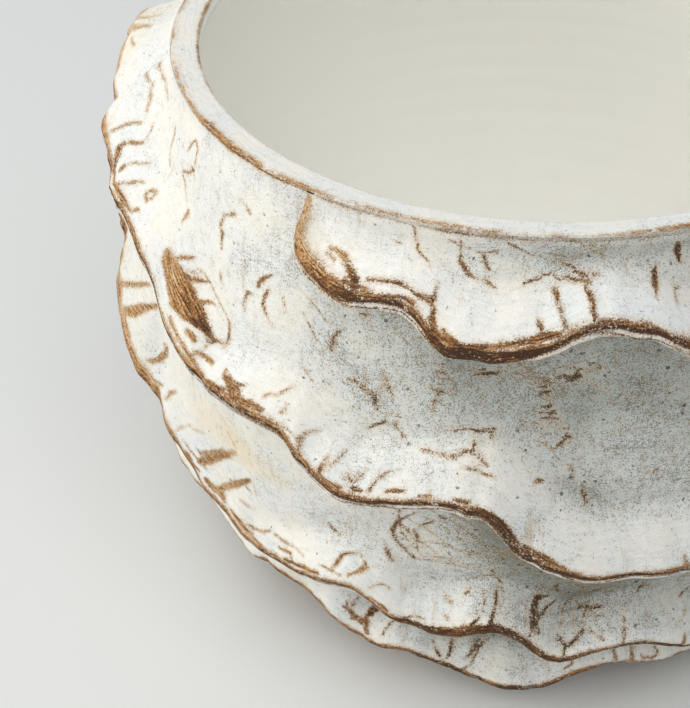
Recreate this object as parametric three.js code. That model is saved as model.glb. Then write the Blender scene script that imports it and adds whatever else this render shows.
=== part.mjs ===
// A squat, globe-shaped stoneware planter, built up by hand from clay.
// A plain bowl carries a flat rim band and a foot ring. Five clay slabs, the
// frills, start one after another under the rim and wind down round the wall
// like shingles. Each covers the bowl below its upper neighbour's edge and
// flares out to a ruffled lip of its own.
// Millimetres, +Z up. The origin is on the ground, on the bowl's axis.

import * as THREE from 'three';

// Heights
const potHeight = 180;
const rimThickness = 4.7;
const footHeight = 7.7;
const floorThickness = 8;
const bellyHeight = 112;

// Radii and widths of the bowl, rim and foot
const bellyRadius = 117.5;
const neckRadius = 106;
const bottomRadius = 82.5;
const wallThickness = 6;
const rimWidth = 8.5;
const footWidth = 10;
const footInset = 4.5;
const drainHoleRadius = 10;
const floorFillet = 14;
const filletStretch = 1.5;
const rimRounding = 1;

// Frills
const slabThickness = 2.5;
const edgeHeight = 4;
const edgeUndercut = 1.3;
const flareReach = 15;
const baseLift = 0.5;
const leastBand = 2;

// Clearance between two pieces that touch
const joinGap = 0.3;

// Steps of the round shapes
const roundSegments = 72;
const frillStep = 4;
const wallSteps = 9;
const filletSteps = 4;

// Colours seen on the pot, with their roughness
const glazedClay = { color: 0xdad8cb, roughness: 0.35, metalness: 0 };
const whitewashedClay = { color: 0xe2e1dc, roughness: 0.88, metalness: 0 };
const bareClay = { color: 0xa06c40, roughness: 0.9, metalness: 0 };

// Each frill starts at an angle, in degrees counter-clockwise seen from above,
// from +X. Its edge is a wavy route: degrees turned since the start, how far
// down the wall the lip has come in percent (0 at the rim, 100 at the base),
// and how far the lip stands out from the bowl's wall.
const frills = [
  {
    name: 'frill_front_left',
    start: 232,
    route: [
      [0, 1.5, 4], [1, 4.6, 6], [4.5, 8.3, 8], [9.5, 9.7, 9], [15, 8.7, 9], [18.5, 9.2, 9.5],
      [21, 11.1, 11], [24.5, 13, 13], [28.5, 12.7, 13], [34.5, 10.9, 12], [39, 8.9, 11],
      [43, 8.1, 11], [50, 10.5, 11], [64, 23.4, 12], [72, 27.7, 11], [84, 25.8, 10],
      [93, 27.1, 11], [107, 42.5, 12], [116, 46.8, 12], [129, 44.3, 12], [138, 47.4, 12],
      [152, 61.5, 12], [161, 64, 11], [171, 63.4, 10], [190, 80, 13], [200, 81.8, 12],
      [210, 80.6, 11], [229, 94.8, 15], [240, 97.2, 15], [251, 96, 14], [266, 99.7, 15],
      [276, 100, 15], [286, 99, 14], [305, 100, 13],
    ],
  },
  {
    name: 'frill_left',
    start: 160,
    route: [
      [0, 1.5, 5], [3, 2.3, 12], [8, 4.3, 15.5], [14, 8, 17], [20, 11.7, 17], [27, 14.5, 16],
      [33, 18.2, 14], [39.5, 21.2, 12.5], [44.5, 22.2, 12], [47.5, 24.9, 11], [50, 29.5, 10],
      [55, 35.1, 10], [58, 38, 9], [61, 38.8, 9], [70, 38.2, 9], [73, 39.2, 9], [76, 43.1, 9],
      [79, 45.5, 9], [82.5, 47, 9], [86, 46.6, 9], [95, 43.4, 10], [99, 43.6, 10.5],
      [101.5, 44.6, 11], [105.2, 51.7, 11], [108, 53.8, 11.5], [111.5, 56.4, 12],
      [116, 58.3, 12], [123, 59.1, 12], [130, 60.9, 12], [143, 73.2, 12], [151, 76.3, 11],
      [160, 75.1, 11], [167, 76.9, 11], [180, 86.8, 12], [189, 85.5, 11], [196, 88.6, 12],
      [208, 98.5, 15], [218, 100, 14], [237, 96.6, 13], [254, 100, 14], [273, 97.2, 13],
      [291, 100, 14], [310, 100, 13],
    ],
  },
  {
    name: 'frill_back',
    start: 88,
    route: [
      [0, 1.5, 4], [4, 3.7, 8], [10, 7.4, 11], [18, 10.5, 12], [28, 11.7, 12], [43, 23.4, 12],
      [52, 26.5, 11], [61, 26.5, 10], [77, 38.2, 12], [86, 40, 13], [94, 39.4, 13],
      [100, 40, 12], [104, 44.3, 12], [108, 52.3, 11], [113, 58.5, 10], [119, 65.8, 9],
      [130, 75.1, 9], [135, 78.2, 9], [142, 77.5, 9], [150, 73.8, 9.5], [154, 72.6, 10],
      [157.5, 76, 10], [160, 78.3, 10.5], [165, 79.7, 12], [169, 79.1, 12], [174, 75.7, 12],
      [178, 78.2, 12], [181.5, 83.4, 13], [184.5, 85.4, 14], [188, 84.1, 14], [192, 82.1, 14],
      [198, 83.1, 13], [210, 92.9, 14], [218, 97.2, 15], [228, 99.7, 15], [238, 99.7, 14],
      [252, 96.9, 13], [267, 100, 14], [282, 100, 13],
    ],
  },
  {
    name: 'frill_right',
    start: 16,
    route: [
      [0, 1.5, 4], [4, 3.7, 8], [10, 6.8, 11], [20, 7.4, 11], [29, 11.7, 12], [38, 20.3, 12],
      [46, 22.8, 11], [58, 21.5, 10], [66, 22.8, 10], [79, 36.3, 12], [88, 41.2, 12],
      [101, 40, 10], [108, 41.8, 11], [121, 54.8, 12], [131, 59.7, 11], [143, 57.8, 10],
      [150, 59.7, 11], [163, 73.2, 12], [172, 77.5, 11], [182, 78.8, 10], [190, 84.3, 8],
      [199, 88.6, 8.5], [204, 85.8, 8.5], [208, 84.3, 8.5], [213, 85.8, 8], [219, 89.8, 9.5],
      [222, 92.6, 11], [227.5, 94.2, 12], [231, 93.7, 12], [234.5, 95, 12], [238, 97.1, 12],
      [244, 99.1, 14], [247.5, 100, 16], [253.5, 100, 16], [257, 98.6, 14], [261, 96.1, 12],
      [268, 95.4, 11], [274, 97.8, 12], [283, 100, 13], [300, 100, 13],
    ],
  },
  {
    name: 'frill_front_right',
    start: 304,
    route: [
      [0, 1.5, 4], [4, 3.7, 8], [10, 7.4, 11], [16, 9.2, 10], [24, 9.2, 10], [37, 18.5, 12],
      [46, 19.1, 11], [57, 17.8, 10], [63, 20.9, 11], [76, 35.7, 12], [85, 36.9, 10],
      [97, 35.7, 10], [103, 39.4, 11], [117, 56, 12], [127, 57.8, 11], [140, 56, 10],
      [146, 59.1, 11], [160, 75.1, 12], [170, 75.7, 11], [182, 75.1, 11], [188, 79.4, 12],
      [203, 92.3, 13], [214, 91.7, 12], [223, 92.3, 12], [231, 97.2, 13], [240, 99.7, 10],
      [252, 100, 7], [267, 98.5, 5], [283, 100, 5], [310, 100, 6],
    ],
  },
];

// Heights and radii that follow from the sizes above
const bowlBottom = footHeight + joinGap;
const bowlTop = potHeight - rimThickness - joinGap;
const floorTop = bowlBottom + floorThickness;
const mouthRadius = neckRadius - wallThickness;
const lowestLip = bowlBottom + baseLift + edgeHeight;
const fullTurn = 360;

// The bowl's outer wall swells from its bottom to the belly and draws in to the
// neck, as a quarter ellipse below the belly and another above it.
function wallRadius(height) {
  const below = height < bellyHeight;
  const endRadius = below ? bottomRadius : neckRadius;
  const endHeight = below ? bowlBottom : bowlTop;
  const share = (height - bellyHeight) / (endHeight - bellyHeight);
  return Math.sqrt(bellyRadius ** 2 - (bellyRadius ** 2 - endRadius ** 2) * share ** 2);
}

// A solid turned from a closed profile of [radius, height] points.
function turned(profile) {
  const points = [...profile, profile[0]].map(([radius, height]) => new THREE.Vector2(radius, height));
  return new THREE.LatheGeometry(points, roundSegments);
}

function bowlGeometry() {
  const outside = [];
  for (let step = 0; step <= wallSteps; step += 1) {
    const height = THREE.MathUtils.lerp(bowlBottom, bowlTop, step / wallSteps);
    outside.push([wallRadius(height), height]);
  }
  const inside = [];
  const filletTop = floorTop + floorFillet;
  for (let step = 0; step <= wallSteps; step += 1) {
    const height = THREE.MathUtils.lerp(bowlTop, filletTop, step / wallSteps);
    inside.push([wallRadius(height) - wallThickness, height]);
  }
  const filletEnd = wallRadius(filletTop) - wallThickness;
  for (let step = 1; step <= filletSteps; step += 1) {
    const angle = (step / filletSteps) * Math.PI / 2;
    const radius = filletEnd - floorFillet * filletStretch * (1 - Math.cos(angle));
    inside.push([radius, filletTop - floorFillet * Math.sin(angle)]);
  }
  return turned([[drainHoleRadius, bowlBottom], ...outside, ...inside, [drainHoleRadius, floorTop]]);
}

function rimGeometry() {
  const outer = mouthRadius + rimWidth;
  const underside = potHeight - rimThickness;
  return turned([
    [mouthRadius, underside],
    [outer, underside],
    [outer, potHeight - rimRounding],
    [outer - rimRounding, potHeight],
    [mouthRadius + rimRounding, potHeight],
    [mouthRadius, potHeight - rimRounding],
  ]);
}

function footGeometry() {
  const outer = bottomRadius - footInset;
  return turned([
    [outer - footWidth, 0],
    [outer, 0],
    [outer, footHeight],
    [outer - footWidth, footHeight],
  ]);
}

// A frill's edge as smooth curves of height and reach over the degrees turned.
function edgeOf(frill) {
  const turns = frill.route.map(([turn]) => turn);
  const values = frill.route.flatMap(([, fall, reach]) => [fall, reach]);
  const curve = new THREE.CubicInterpolant(turns, values, 2);
  return (turn) => {
    const [fall, reach] = curve.evaluate(turn);
    return { height: THREE.MathUtils.lerp(bowlTop, lowestLip, fall / 100), reach };
  };
}

// How steeply the edge runs there, as rise over run along the wall.
function steepness(edge, turn) {
  const run = THREE.MathUtils.degToRad(frillStep) * (bellyRadius + slabThickness);
  return (edge(turn + frillStep / 2).height - edge(turn - frillStep / 2).height) / run;
}

// The lip's swell over the slab: 1 at the edge, 0 once the hollow is reached.
function flare(share) {
  const clamped = Math.min(share, 1);
  return 0.45 * (1 - clamped) + 0.275 * (1 + Math.cos(Math.PI * clamped));
}

// All frills share one list of angles, so that neighbours' facets agree. Two
// more angles just before each start let the slab below step down under it.
const capClearance = THREE.MathUtils.radToDeg(joinGap / neckRadius);
const sharedAngles = [];
for (let angle = 0; angle < fullTurn; angle += frillStep) {
  sharedAngles.push(angle);
}
for (const { start } of frills) {
  sharedAngles.push(start - 2 * capClearance, start - capClearance);
}

function turnsOf(frill) {
  const turns = [0];
  for (const angle of sharedAngles) {
    turns.push(THREE.MathUtils.euclideanModulo(angle - frill.start, fullTurn));
  }
  turns.sort((a, b) => a - b);
  return turns.filter((turn, index) => index === 0 || turn - turns[index - 1] > capClearance / 2);
}

// The next frill up starts further round, and this one tucks in under its edge.
function upperNeighbour(frill) {
  const lead = (other) => THREE.MathUtils.euclideanModulo(other.start - frill.start, fullTurn);
  const others = frills.filter((other) => other !== frill).sort((a, b) => lead(a) - lead(b));
  return { edge: edgeOf(others[0]), lead: lead(others[0]) };
}

// The top of a frill: right under the rim until the upper neighbour has
// started, and a gap below that neighbour's edge from there on.
function topOf(upper, turn) {
  const upperTurn = turn - upper.lead;
  if (upperTurn < -1.5 * capClearance) {
    return bowlTop;
  }
  const along = Math.max(upperTurn, 0);
  const drop = joinGap * Math.hypot(1, steepness(upper.edge, along));
  return upper.edge(along).height - edgeHeight - drop;
}

const lipShares = [0, 0.12, 0.3, 0.52, 0.76, 1];
const hollowShares = [0.5, 1];
const innerShares = [0, 1 / 3, 2 / 3, 1];
const roundAllowance = 1 / Math.cos(THREE.MathUtils.degToRad(frillStep) / 2);

// One upright slice through a frill, from the lip up the outside, then down
// the inside, which follows the bowl's wall at a gap.
function sliceOf(edge, top, turn) {
  const { height: lipHeight, reach } = edge(turn);
  const bottom = lipHeight - edgeHeight;
  const tilt = Math.hypot(1, steepness(edge, turn));
  const lipTop = Math.min(lipHeight + flareReach * tilt, THREE.MathUtils.lerp(lipHeight, top, 0.8));
  const cover = joinGap + slabThickness;
  const outsideHeights = [
    ...lipShares.map((share) => THREE.MathUtils.lerp(lipHeight, lipTop, share)),
    ...hollowShares.map((share) => THREE.MathUtils.lerp(lipTop, top, share)),
  ];
  const slice = outsideHeights.map((height) => {
    const swell = flare((height - lipHeight) / tilt / flareReach);
    return [wallRadius(height) + THREE.MathUtils.lerp(cover, reach, swell), height];
  });
  const innerHeights = innerShares.map((share) => THREE.MathUtils.lerp(top, bottom, share));
  const bulge = Math.max(...innerHeights.slice(1).map((height, index) => {
    const above = innerHeights[index];
    return wallRadius((height + above) / 2) - (wallRadius(height) + wallRadius(above)) / 2;
  }));
  for (const height of innerHeights) {
    slice.push([(wallRadius(height) + joinGap + bulge) * roundAllowance, height]);
  }
  slice.push([wallRadius(bottom) + reach - edgeUndercut, bottom]);
  return slice;
}

function capOf(slice) {
  const outline = slice.map(([radius, height]) => new THREE.Vector2(radius, height));
  return THREE.ShapeUtils.triangulateShape(outline, []);
}

// A closed skin over the slices: quads from slice to slice, and a flat cap on
// the first and the last.
function frillGeometry(frill) {
  const edge = edgeOf(frill);
  const upper = upperNeighbour(frill);
  const positions = [];
  const slices = [];
  for (const turn of turnsOf(frill)) {
    const top = topOf(upper, turn);
    if (turn > fullTurn / 2 && top - edge(turn).height < leastBand) {
      break;
    }
    const slice = sliceOf(edge, top, turn);
    const angle = THREE.MathUtils.degToRad(frill.start + turn);
    for (const [radius, height] of slice) {
      positions.push(radius * Math.cos(angle), radius * Math.sin(angle), height);
    }
    slices.push(slice);
  }
  const count = slices[0].length;
  const faces = [];
  for (let column = 0; column < slices.length - 1; column += 1) {
    for (let row = 0; row < count; row += 1) {
      const nextRow = (row + 1) % count;
      const here = column * count;
      const there = here + count;
      faces.push(here + row, there + row, there + nextRow);
      faces.push(here + row, there + nextRow, here + nextRow);
    }
  }
  const last = slices.length - 1;
  for (const [a, b, c] of capOf(slices[0])) {
    faces.push(a, b, c);
  }
  for (const [a, b, c] of capOf(slices[last])) {
    faces.push(last * count + a, last * count + c, last * count + b);
  }
  const geometry = new THREE.BufferGeometry();
  geometry.setAttribute('position', new THREE.Float32BufferAttribute(positions, 3));
  geometry.setIndex(faces);
  geometry.computeVertexNormals();
  return geometry;
}

const planter = new THREE.Group();

function addPiece(name, geometry, finish) {
  const piece = new THREE.Mesh(geometry, new THREE.MeshStandardMaterial(finish));
  piece.name = name;
  planter.add(piece);
  return piece;
}

// The turned pieces are drawn round +Y and stood up onto +Z.
const turnedPieces = [
  addPiece('bowl', bowlGeometry(), glazedClay),
  addPiece('rim_band', rimGeometry(), whitewashedClay),
  addPiece('foot_ring', footGeometry(), bareClay),
];
for (const piece of turnedPieces) {
  piece.rotation.x = Math.PI / 2;
}

for (const frill of frills) {
  addPiece(frill.name, frillGeometry(frill), whitewashedClay);
}

export default planter;
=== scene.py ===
# Hand-built stoneware planter: a glazed bowl, a rim band, a foot ring and five ruffled frills.
# Lengths are millimetres until a mesh is made, and angles are degrees round +Z from +X.
import math

import bpy
import numpy as np
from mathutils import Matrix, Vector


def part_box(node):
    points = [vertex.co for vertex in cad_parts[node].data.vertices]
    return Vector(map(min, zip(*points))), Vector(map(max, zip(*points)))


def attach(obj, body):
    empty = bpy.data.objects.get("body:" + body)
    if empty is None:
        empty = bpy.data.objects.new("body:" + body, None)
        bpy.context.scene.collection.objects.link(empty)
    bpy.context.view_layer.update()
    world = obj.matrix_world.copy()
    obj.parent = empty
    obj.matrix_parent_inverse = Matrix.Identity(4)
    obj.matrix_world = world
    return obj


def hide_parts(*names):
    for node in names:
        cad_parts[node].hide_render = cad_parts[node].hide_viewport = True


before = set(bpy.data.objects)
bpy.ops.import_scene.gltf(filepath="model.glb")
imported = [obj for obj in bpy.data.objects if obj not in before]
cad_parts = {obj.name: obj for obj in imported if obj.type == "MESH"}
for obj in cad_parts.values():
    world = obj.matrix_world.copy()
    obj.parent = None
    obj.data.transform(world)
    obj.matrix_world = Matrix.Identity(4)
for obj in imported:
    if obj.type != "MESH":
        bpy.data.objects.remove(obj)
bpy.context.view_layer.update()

metre = 0.001  # one millimetre in Blender's metres
bodyName = "root"  # nothing moves, so every piece rides on the one body


def low(node):
    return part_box(node)[0][2] / metre


def high(node):
    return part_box(node)[1][2] / metre


# The pot's own shape, which every piece follows
pot = {
    "bellyRadius": 117.5,
    "bellyHeight": 112.0,
    "neckRadius": 106.0,
    "bottomRadius": 82.5,
    "wallThickness": 6.0,
    "bowlBottom": low("bowl"),
    "bowlTop": high("bowl"),
    "rimTop": high("rim_band"),
}


def wallRadius(height):  # the bowl's outer wall, a quarter ellipse below the belly and one above it
    height = np.asarray(height, float)
    below = height < pot["bellyHeight"]
    endRadius = np.where(below, pot["bottomRadius"], pot["neckRadius"])
    endHeight = np.where(below, pot["bowlBottom"], pot["bowlTop"])
    share = (height - pot["bellyHeight"]) / (endHeight - pot["bellyHeight"])
    return np.sqrt(pot["bellyRadius"] ** 2 - (pot["bellyRadius"] ** 2 - endRadius ** 2) * share ** 2)


def mix(a, b, share):
    return a + (b - a) * share


def smooth(value, start, end):  # 0 before start, 1 after end, and an easy slope between them
    share = np.clip((value - start) / (end - start), 0, 1)
    return share * share * (3 - 2 * share)


latticePrimes = (73856093, 19349663, 83492791, 26544357)
wordMask = 0xFFFFFFFF


def clayNoise(points, size, seed):
    # smooth lumps of a given size, from -1 to 1: seeded random heights on a lattice, blended
    cell = points / size
    corner = np.floor(cell).astype(np.int64)
    part = cell - corner
    part = part * part * (3 - 2 * part)
    total = np.zeros(points.shape[:-1])
    for index in range(8):
        step = np.array([index & 1, index >> 1 & 1, index >> 2 & 1])
        weight = np.prod(np.where(step == 1, part, 1 - part), axis=-1)
        key = corner + step
        word = key[..., 0] * latticePrimes[0] ^ key[..., 1] * latticePrimes[1]
        word = (word ^ key[..., 2] * latticePrimes[2] ^ seed * latticePrimes[3]) & wordMask
        word = (word ^ (word >> 13)) * 1274126177 & wordMask
        word = word ^ (word >> 16)
        total += weight * (word / wordMask * 2 - 1)
    return total


def along(lengths, size, seed):  # the same lumps along a line
    points = np.stack([lengths, np.zeros_like(lengths), np.zeros_like(lengths)], axis=-1)
    return clayNoise(points, size, seed)


def gridMesh(name, points, attributes, ringed, material):
    # A closed skin over a grid of points, columns by rows, where the rows run up the outside.
    # They always close on themselves; the columns close when ringed, and get end caps when not.
    columns, rows = points.shape[:2]
    corner = np.arange(columns * rows).reshape(columns, rows)
    nextRow = np.roll(corner, -1, axis=1)
    if ringed:
        here, there = corner, np.roll(corner, -1, axis=0)
        hereNext, thereNext = nextRow, np.roll(nextRow, -1, axis=0)
    else:
        here, there = corner[:-1], corner[1:]
        hereNext, thereNext = nextRow[:-1], nextRow[1:]
    faces = np.stack([here, there, thereNext, hereNext], axis=-1).reshape(-1, 4).tolist()
    if not ringed:
        faces.append(corner[0].tolist())
        faces.append(corner[-1][::-1].tolist())
    mesh = bpy.data.meshes.new(name)
    mesh.from_pydata((points.reshape(-1, 3) * metre).tolist(), [], faces)
    mesh.polygons.foreach_set("use_smooth", np.ones(len(mesh.polygons), dtype=bool))
    for key, values in attributes.items():
        kind = "FLOAT_VECTOR" if values.ndim == 3 else "FLOAT"
        layer = mesh.attributes.new(key, kind, "POINT")
        layer.data.foreach_set("vector" if values.ndim == 3 else "value", values.ravel())
    mesh.materials.append(material)
    mesh.update()
    piece = bpy.data.objects.new(name, mesh)
    bpy.context.scene.collection.objects.link(piece)
    return piece


def settle(piece, node):  # the piece stands for its CAD node and rides where the node does
    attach(piece, bodyName)
    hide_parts(node)


def srgb(code, alpha=1.0):  # "#rrggbb" as written on a colour card, turned to linear light
    parts = [int(code[place:place + 2], 16) / 255 for place in (1, 3, 5)]
    linear = [part / 12.92 if part <= 0.04045 else ((part + 0.055) / 1.055) ** 2.4 for part in parts]
    return (*linear, alpha)


def node(tree, kind, inputs=None, **settings):  # adds a node, sets it up and links or fills its inputs
    made = tree.nodes.new(kind)
    for key, value in settings.items():
        setattr(made, key, value)
    for key, value in (inputs or {}).items():
        if isinstance(value, bpy.types.NodeSocket):
            tree.links.new(value, made.inputs[key])
        else:
            made.inputs[key].default_value = value
    return made


def newMaterial(name):
    material = bpy.data.materials.new(name)
    material.use_nodes = True
    material.node_tree.nodes.clear()
    return material, material.node_tree


# Whitewashed stoneware: brown clay brushed with white slip, then sponged back on every
# high edge. It looks chalky and dead matt, with ochre clay showing on worn edges and in
# tool marks, and iron specks where the slip lies thin.
slip = {
    "warmWhite": "#f4f0e6",
    "coolWhite": "#ebeeec",
    "creamWash": "#f1e4c8",
    "thinWash": "#cdbda3",
    # painted shade: the blue-grey of the hollows, and the darker grey of the deepest ones
    "paintedShadeGrey": "#a5b0ad",
    "paintedDeepShade": "#767e76",
    "stain": "#cdac80",
    "grit": "#74674f",
    "speck": "#463e35",
    "paleClay": "#ecdcc0",
    "lightClay": "#cfa068",
    "midClay": "#93653a",
    "darkClay": "#4a3120",
    "paintedShadeClay": "#5c4c38",  # painted shade: bare clay greyed in the hollows
    "patchSize": 16.0,  # cloudy changes of the wash
    "washSize": 2.4,  # brush and sponge mottling
    "grainSize": 0.65,
    "gritSize": 0.42,  # the real grit is about 0.3 mm, drawn coarser so that it shows
    "speckSpacing": 3.2,
    "speckNudge": 3.0,  # how far the specks stray from an even spacing
    "fibreWidth": 0.5,  # brush streaks along the lip, inside the bare clay
    "fibreStretch": 0.11,
    "brushWidth": 1.7,  # strokes of the slip brush, seen as relief
    "brushLength": 6.0,
    "runWidth": 2.0,  # water stains down the wall
    "runLength": 15.0,
    "scratchLength": 26.0,
    "scratchGap": 2.2,
    "roughness": 0.9,
    "reliefDepth": 0.35,
    # sums of the fields and patterns: a start, and so much of each
    "sums": {
        "ragged": (-0.3, {  # millimetres inside a worn edge or a mark, its outline made ragged
            "bare": 1.0, "wash": 1.4, "fibre": 1.3, "grain": 1.5, "grit": 1.5, "hollow": -0.12}),
        "pits": (0.0, {"grain": 1.0, "wash": 0.6, "patch": 0.4, "fibre": 0.5, "hollow": 0.07}),
        "drips": (0.0, {"run": 1.0, "patch": 0.5}),
        "gritty": (0.0, {"grit": 1.0, "hollow": 0.2, "wash": 0.4, "patch": 0.35}),
        # painted shade: the thin wash is stronger in the hollows
        "inHollow": (0.16, {"hollow": 0.4}),
        "speckSize": (0.08, {"hollow": 0.12}),
        # the hollow weight darkens the bare clay's tone as painted shade
        "tone": (-0.7, {"wash": 0.4, "fibre": 1.3, "grain": 0.9, "scorch": -0.27, "hollow": -0.1}),
    },
    # where on its field a change starts and where it is full, and how strong it is at both
    "ranges": {
        "fleck": ("pits", 1.37, 1.46, 1.0, 0.12),  # slip left in the pits of the bare clay
        "cloud": ("patch", 0.34, 0.66, 0.0, 1.0),
        "cream": ("scorch", -0.15, -0.75, 0.0, 0.85),
        # painted shade: the darkest grey, where the hollow field runs past 0.9
        "deepest": ("hollow", 0.9, 1.6, 0.0, 1.0),
        "thin": ("wash", 0.47, 0.68, 0.05, 0.7),
        "halo": ("ragged", 1.6, 2.5, 0.0, 0.5),
        "drip": ("drips", 0.84, 1.06, 0.0, 0.55),
        "onWall": ("hollow", 0.02, 0.08, 0.0, 1.0),
        "hairline": ("offLine", 0.0, 0.016, 1.0, 0.0),
        "scratched": ("patch", 0.48, 0.6, 0.0, 0.7),
        "gritShown": ("gritty", 1.02, 1.21, 0.0, 0.75),
        "speckShown": ("speckEdge", -0.04, 0.04, 0.0, 0.8),
        "core": ("ragged", 2.6, 4.2, -0.06, 0.06),
        # painted shade on the bare clay in the hollows
        "clayInPaintedShade": ("hollow", 0.2, 1.2, 0.0, 0.45),
    },
    "bareFrom": 2.4,  # on the ragged field, where the slip starts to be gone
    "bareTo": 2.8,  # and where it is all gone
    # the layers over the white slip, in turn: a colour, and what is multiplied to its strength
    "layers": [
        ("creamWash", ["cream"]),
        ("paintedShadeGrey", ["hollow", "hollow", 0.6]),  # painted shade: greyer in the hollows
        # painted shade: darker grey in the deepest hollows
        ("paintedDeepShade", ["deepest"]),
        ("thinWash", ["thin", "inHollow"]),  # beige where it was rubbed thin, and more of it in the hollows as painted shade
        ("stain", ["halo"]),  # ochre round the bare clay
        ("stain", ["drip", "onWall"]),  # water stains that ran down from the rim and the folds
        ("midClay", ["hairline", "scratched", "hollow"]),
        ("grit", ["gritShown"]),  # showing through the slip, thickest in the hollows
        ("speck", ["speckShown"]),  # iron specks and pinholes
    ],
    # the bare clay's colours, from burnt to golden, by its tone
    "clayTones": {"darkClay": 0.4, "midClay": 0.56, "lightClay": 0.72, "paleClay": 0.88},
    # relief: the slip lies proud of the bare clay, and grit and pits roughen it
    "relief": {"bareClay": -0.6, "grain": 0.5, "wash": 0.7, "fibre": 0.4, "brush": 1.2, "speckShown": -0.5},
}


def slipFields(tree):
    # the mesh's own fields, and the patterns, all ways or stretched along the slab, by name
    field = {}
    for name in ("bare", "hollow", "scorch"):
        field[name] = node(tree, "ShaderNodeAttribute", attribute_name=name).outputs["Fac"]
    lay = node(tree, "ShaderNodeAttribute", attribute_name="lay").outputs["Vector"]
    place = node(tree, "ShaderNodeTexCoord").outputs["Object"]
    place = node(tree, "ShaderNodeVectorMath", {0: place, "Scale": 1 / metre}, operation="SCALE").outputs[0]
    patterns = {  # stretch, scale, detail, roughness and distortion
        "patch": (None, 1 / slip["patchSize"], 2.0, 0.5, 0.0),
        "wash": (None, 1 / slip["washSize"], 4.0, 0.62, 0.0),
        "grain": (None, 1 / slip["grainSize"], 3.0, 0.6, 0.0),
        "grit": (None, 1 / slip["gritSize"], 1.0, 0.5, 0.0),
        "fibre": ((slip["fibreStretch"], 1.0, 1.0), 1 / slip["fibreWidth"], 3.0, 0.65, 0.0),
        "brush": ((1 / slip["brushLength"], 1 / slip["brushWidth"], 1.0), 1.0, 4.0, 0.7, 1.2),
        "run": ((1 / slip["runWidth"], 1 / slip["runLength"], 1.0), 1.0, 3.0, 0.6, 0.0),
        "scratch": ((1 / slip["scratchLength"], 1 / slip["scratchGap"], 1.0), 1.0, 2.0, 0.5, 0.3),
    }
    noises = {}
    for name, (stretch, scale, detail, roughness, distortion) in patterns.items():
        spot = place
        if stretch:
            spot = node(tree, "ShaderNodeVectorMath", {0: lay, 1: stretch}, operation="MULTIPLY").outputs[0]
        noises[name] = node(tree, "ShaderNodeTexNoise", {
            "Vector": spot, "Scale": scale, "Detail": detail,
            "Roughness": roughness, "Distortion": distortion})
        field[name] = noises[name].outputs["Fac"]

    # a hairline scratch is a thin contour line of a long, narrow noise
    offLine = node(tree, "ShaderNodeMath", {0: field["scratch"], 1: 0.5}, operation="SUBTRACT")
    field["offLine"] = node(tree, "ShaderNodeMath", {0: offLine.outputs[0]}, operation="ABSOLUTE").outputs[0]
    # a speck sits in its own cell, nudged off the even spacing by the wash
    nudge = (slip["speckNudge"],) * 3
    spot = node(tree, "ShaderNodeVectorMath", {0: noises["wash"].outputs["Color"], 1: nudge, 2: place},
                operation="MULTIPLY_ADD").outputs[0]
    cell = node(tree, "ShaderNodeTexVoronoi", {"Vector": spot, "Scale": 1 / slip["speckSpacing"]})
    field["speckAway"] = cell.outputs["Distance"]
    luck = node(tree, "ShaderNodeSeparateColor", {"Color": cell.outputs["Color"]})
    field["speckLuck"] = luck.outputs["Red"]
    return field


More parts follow.
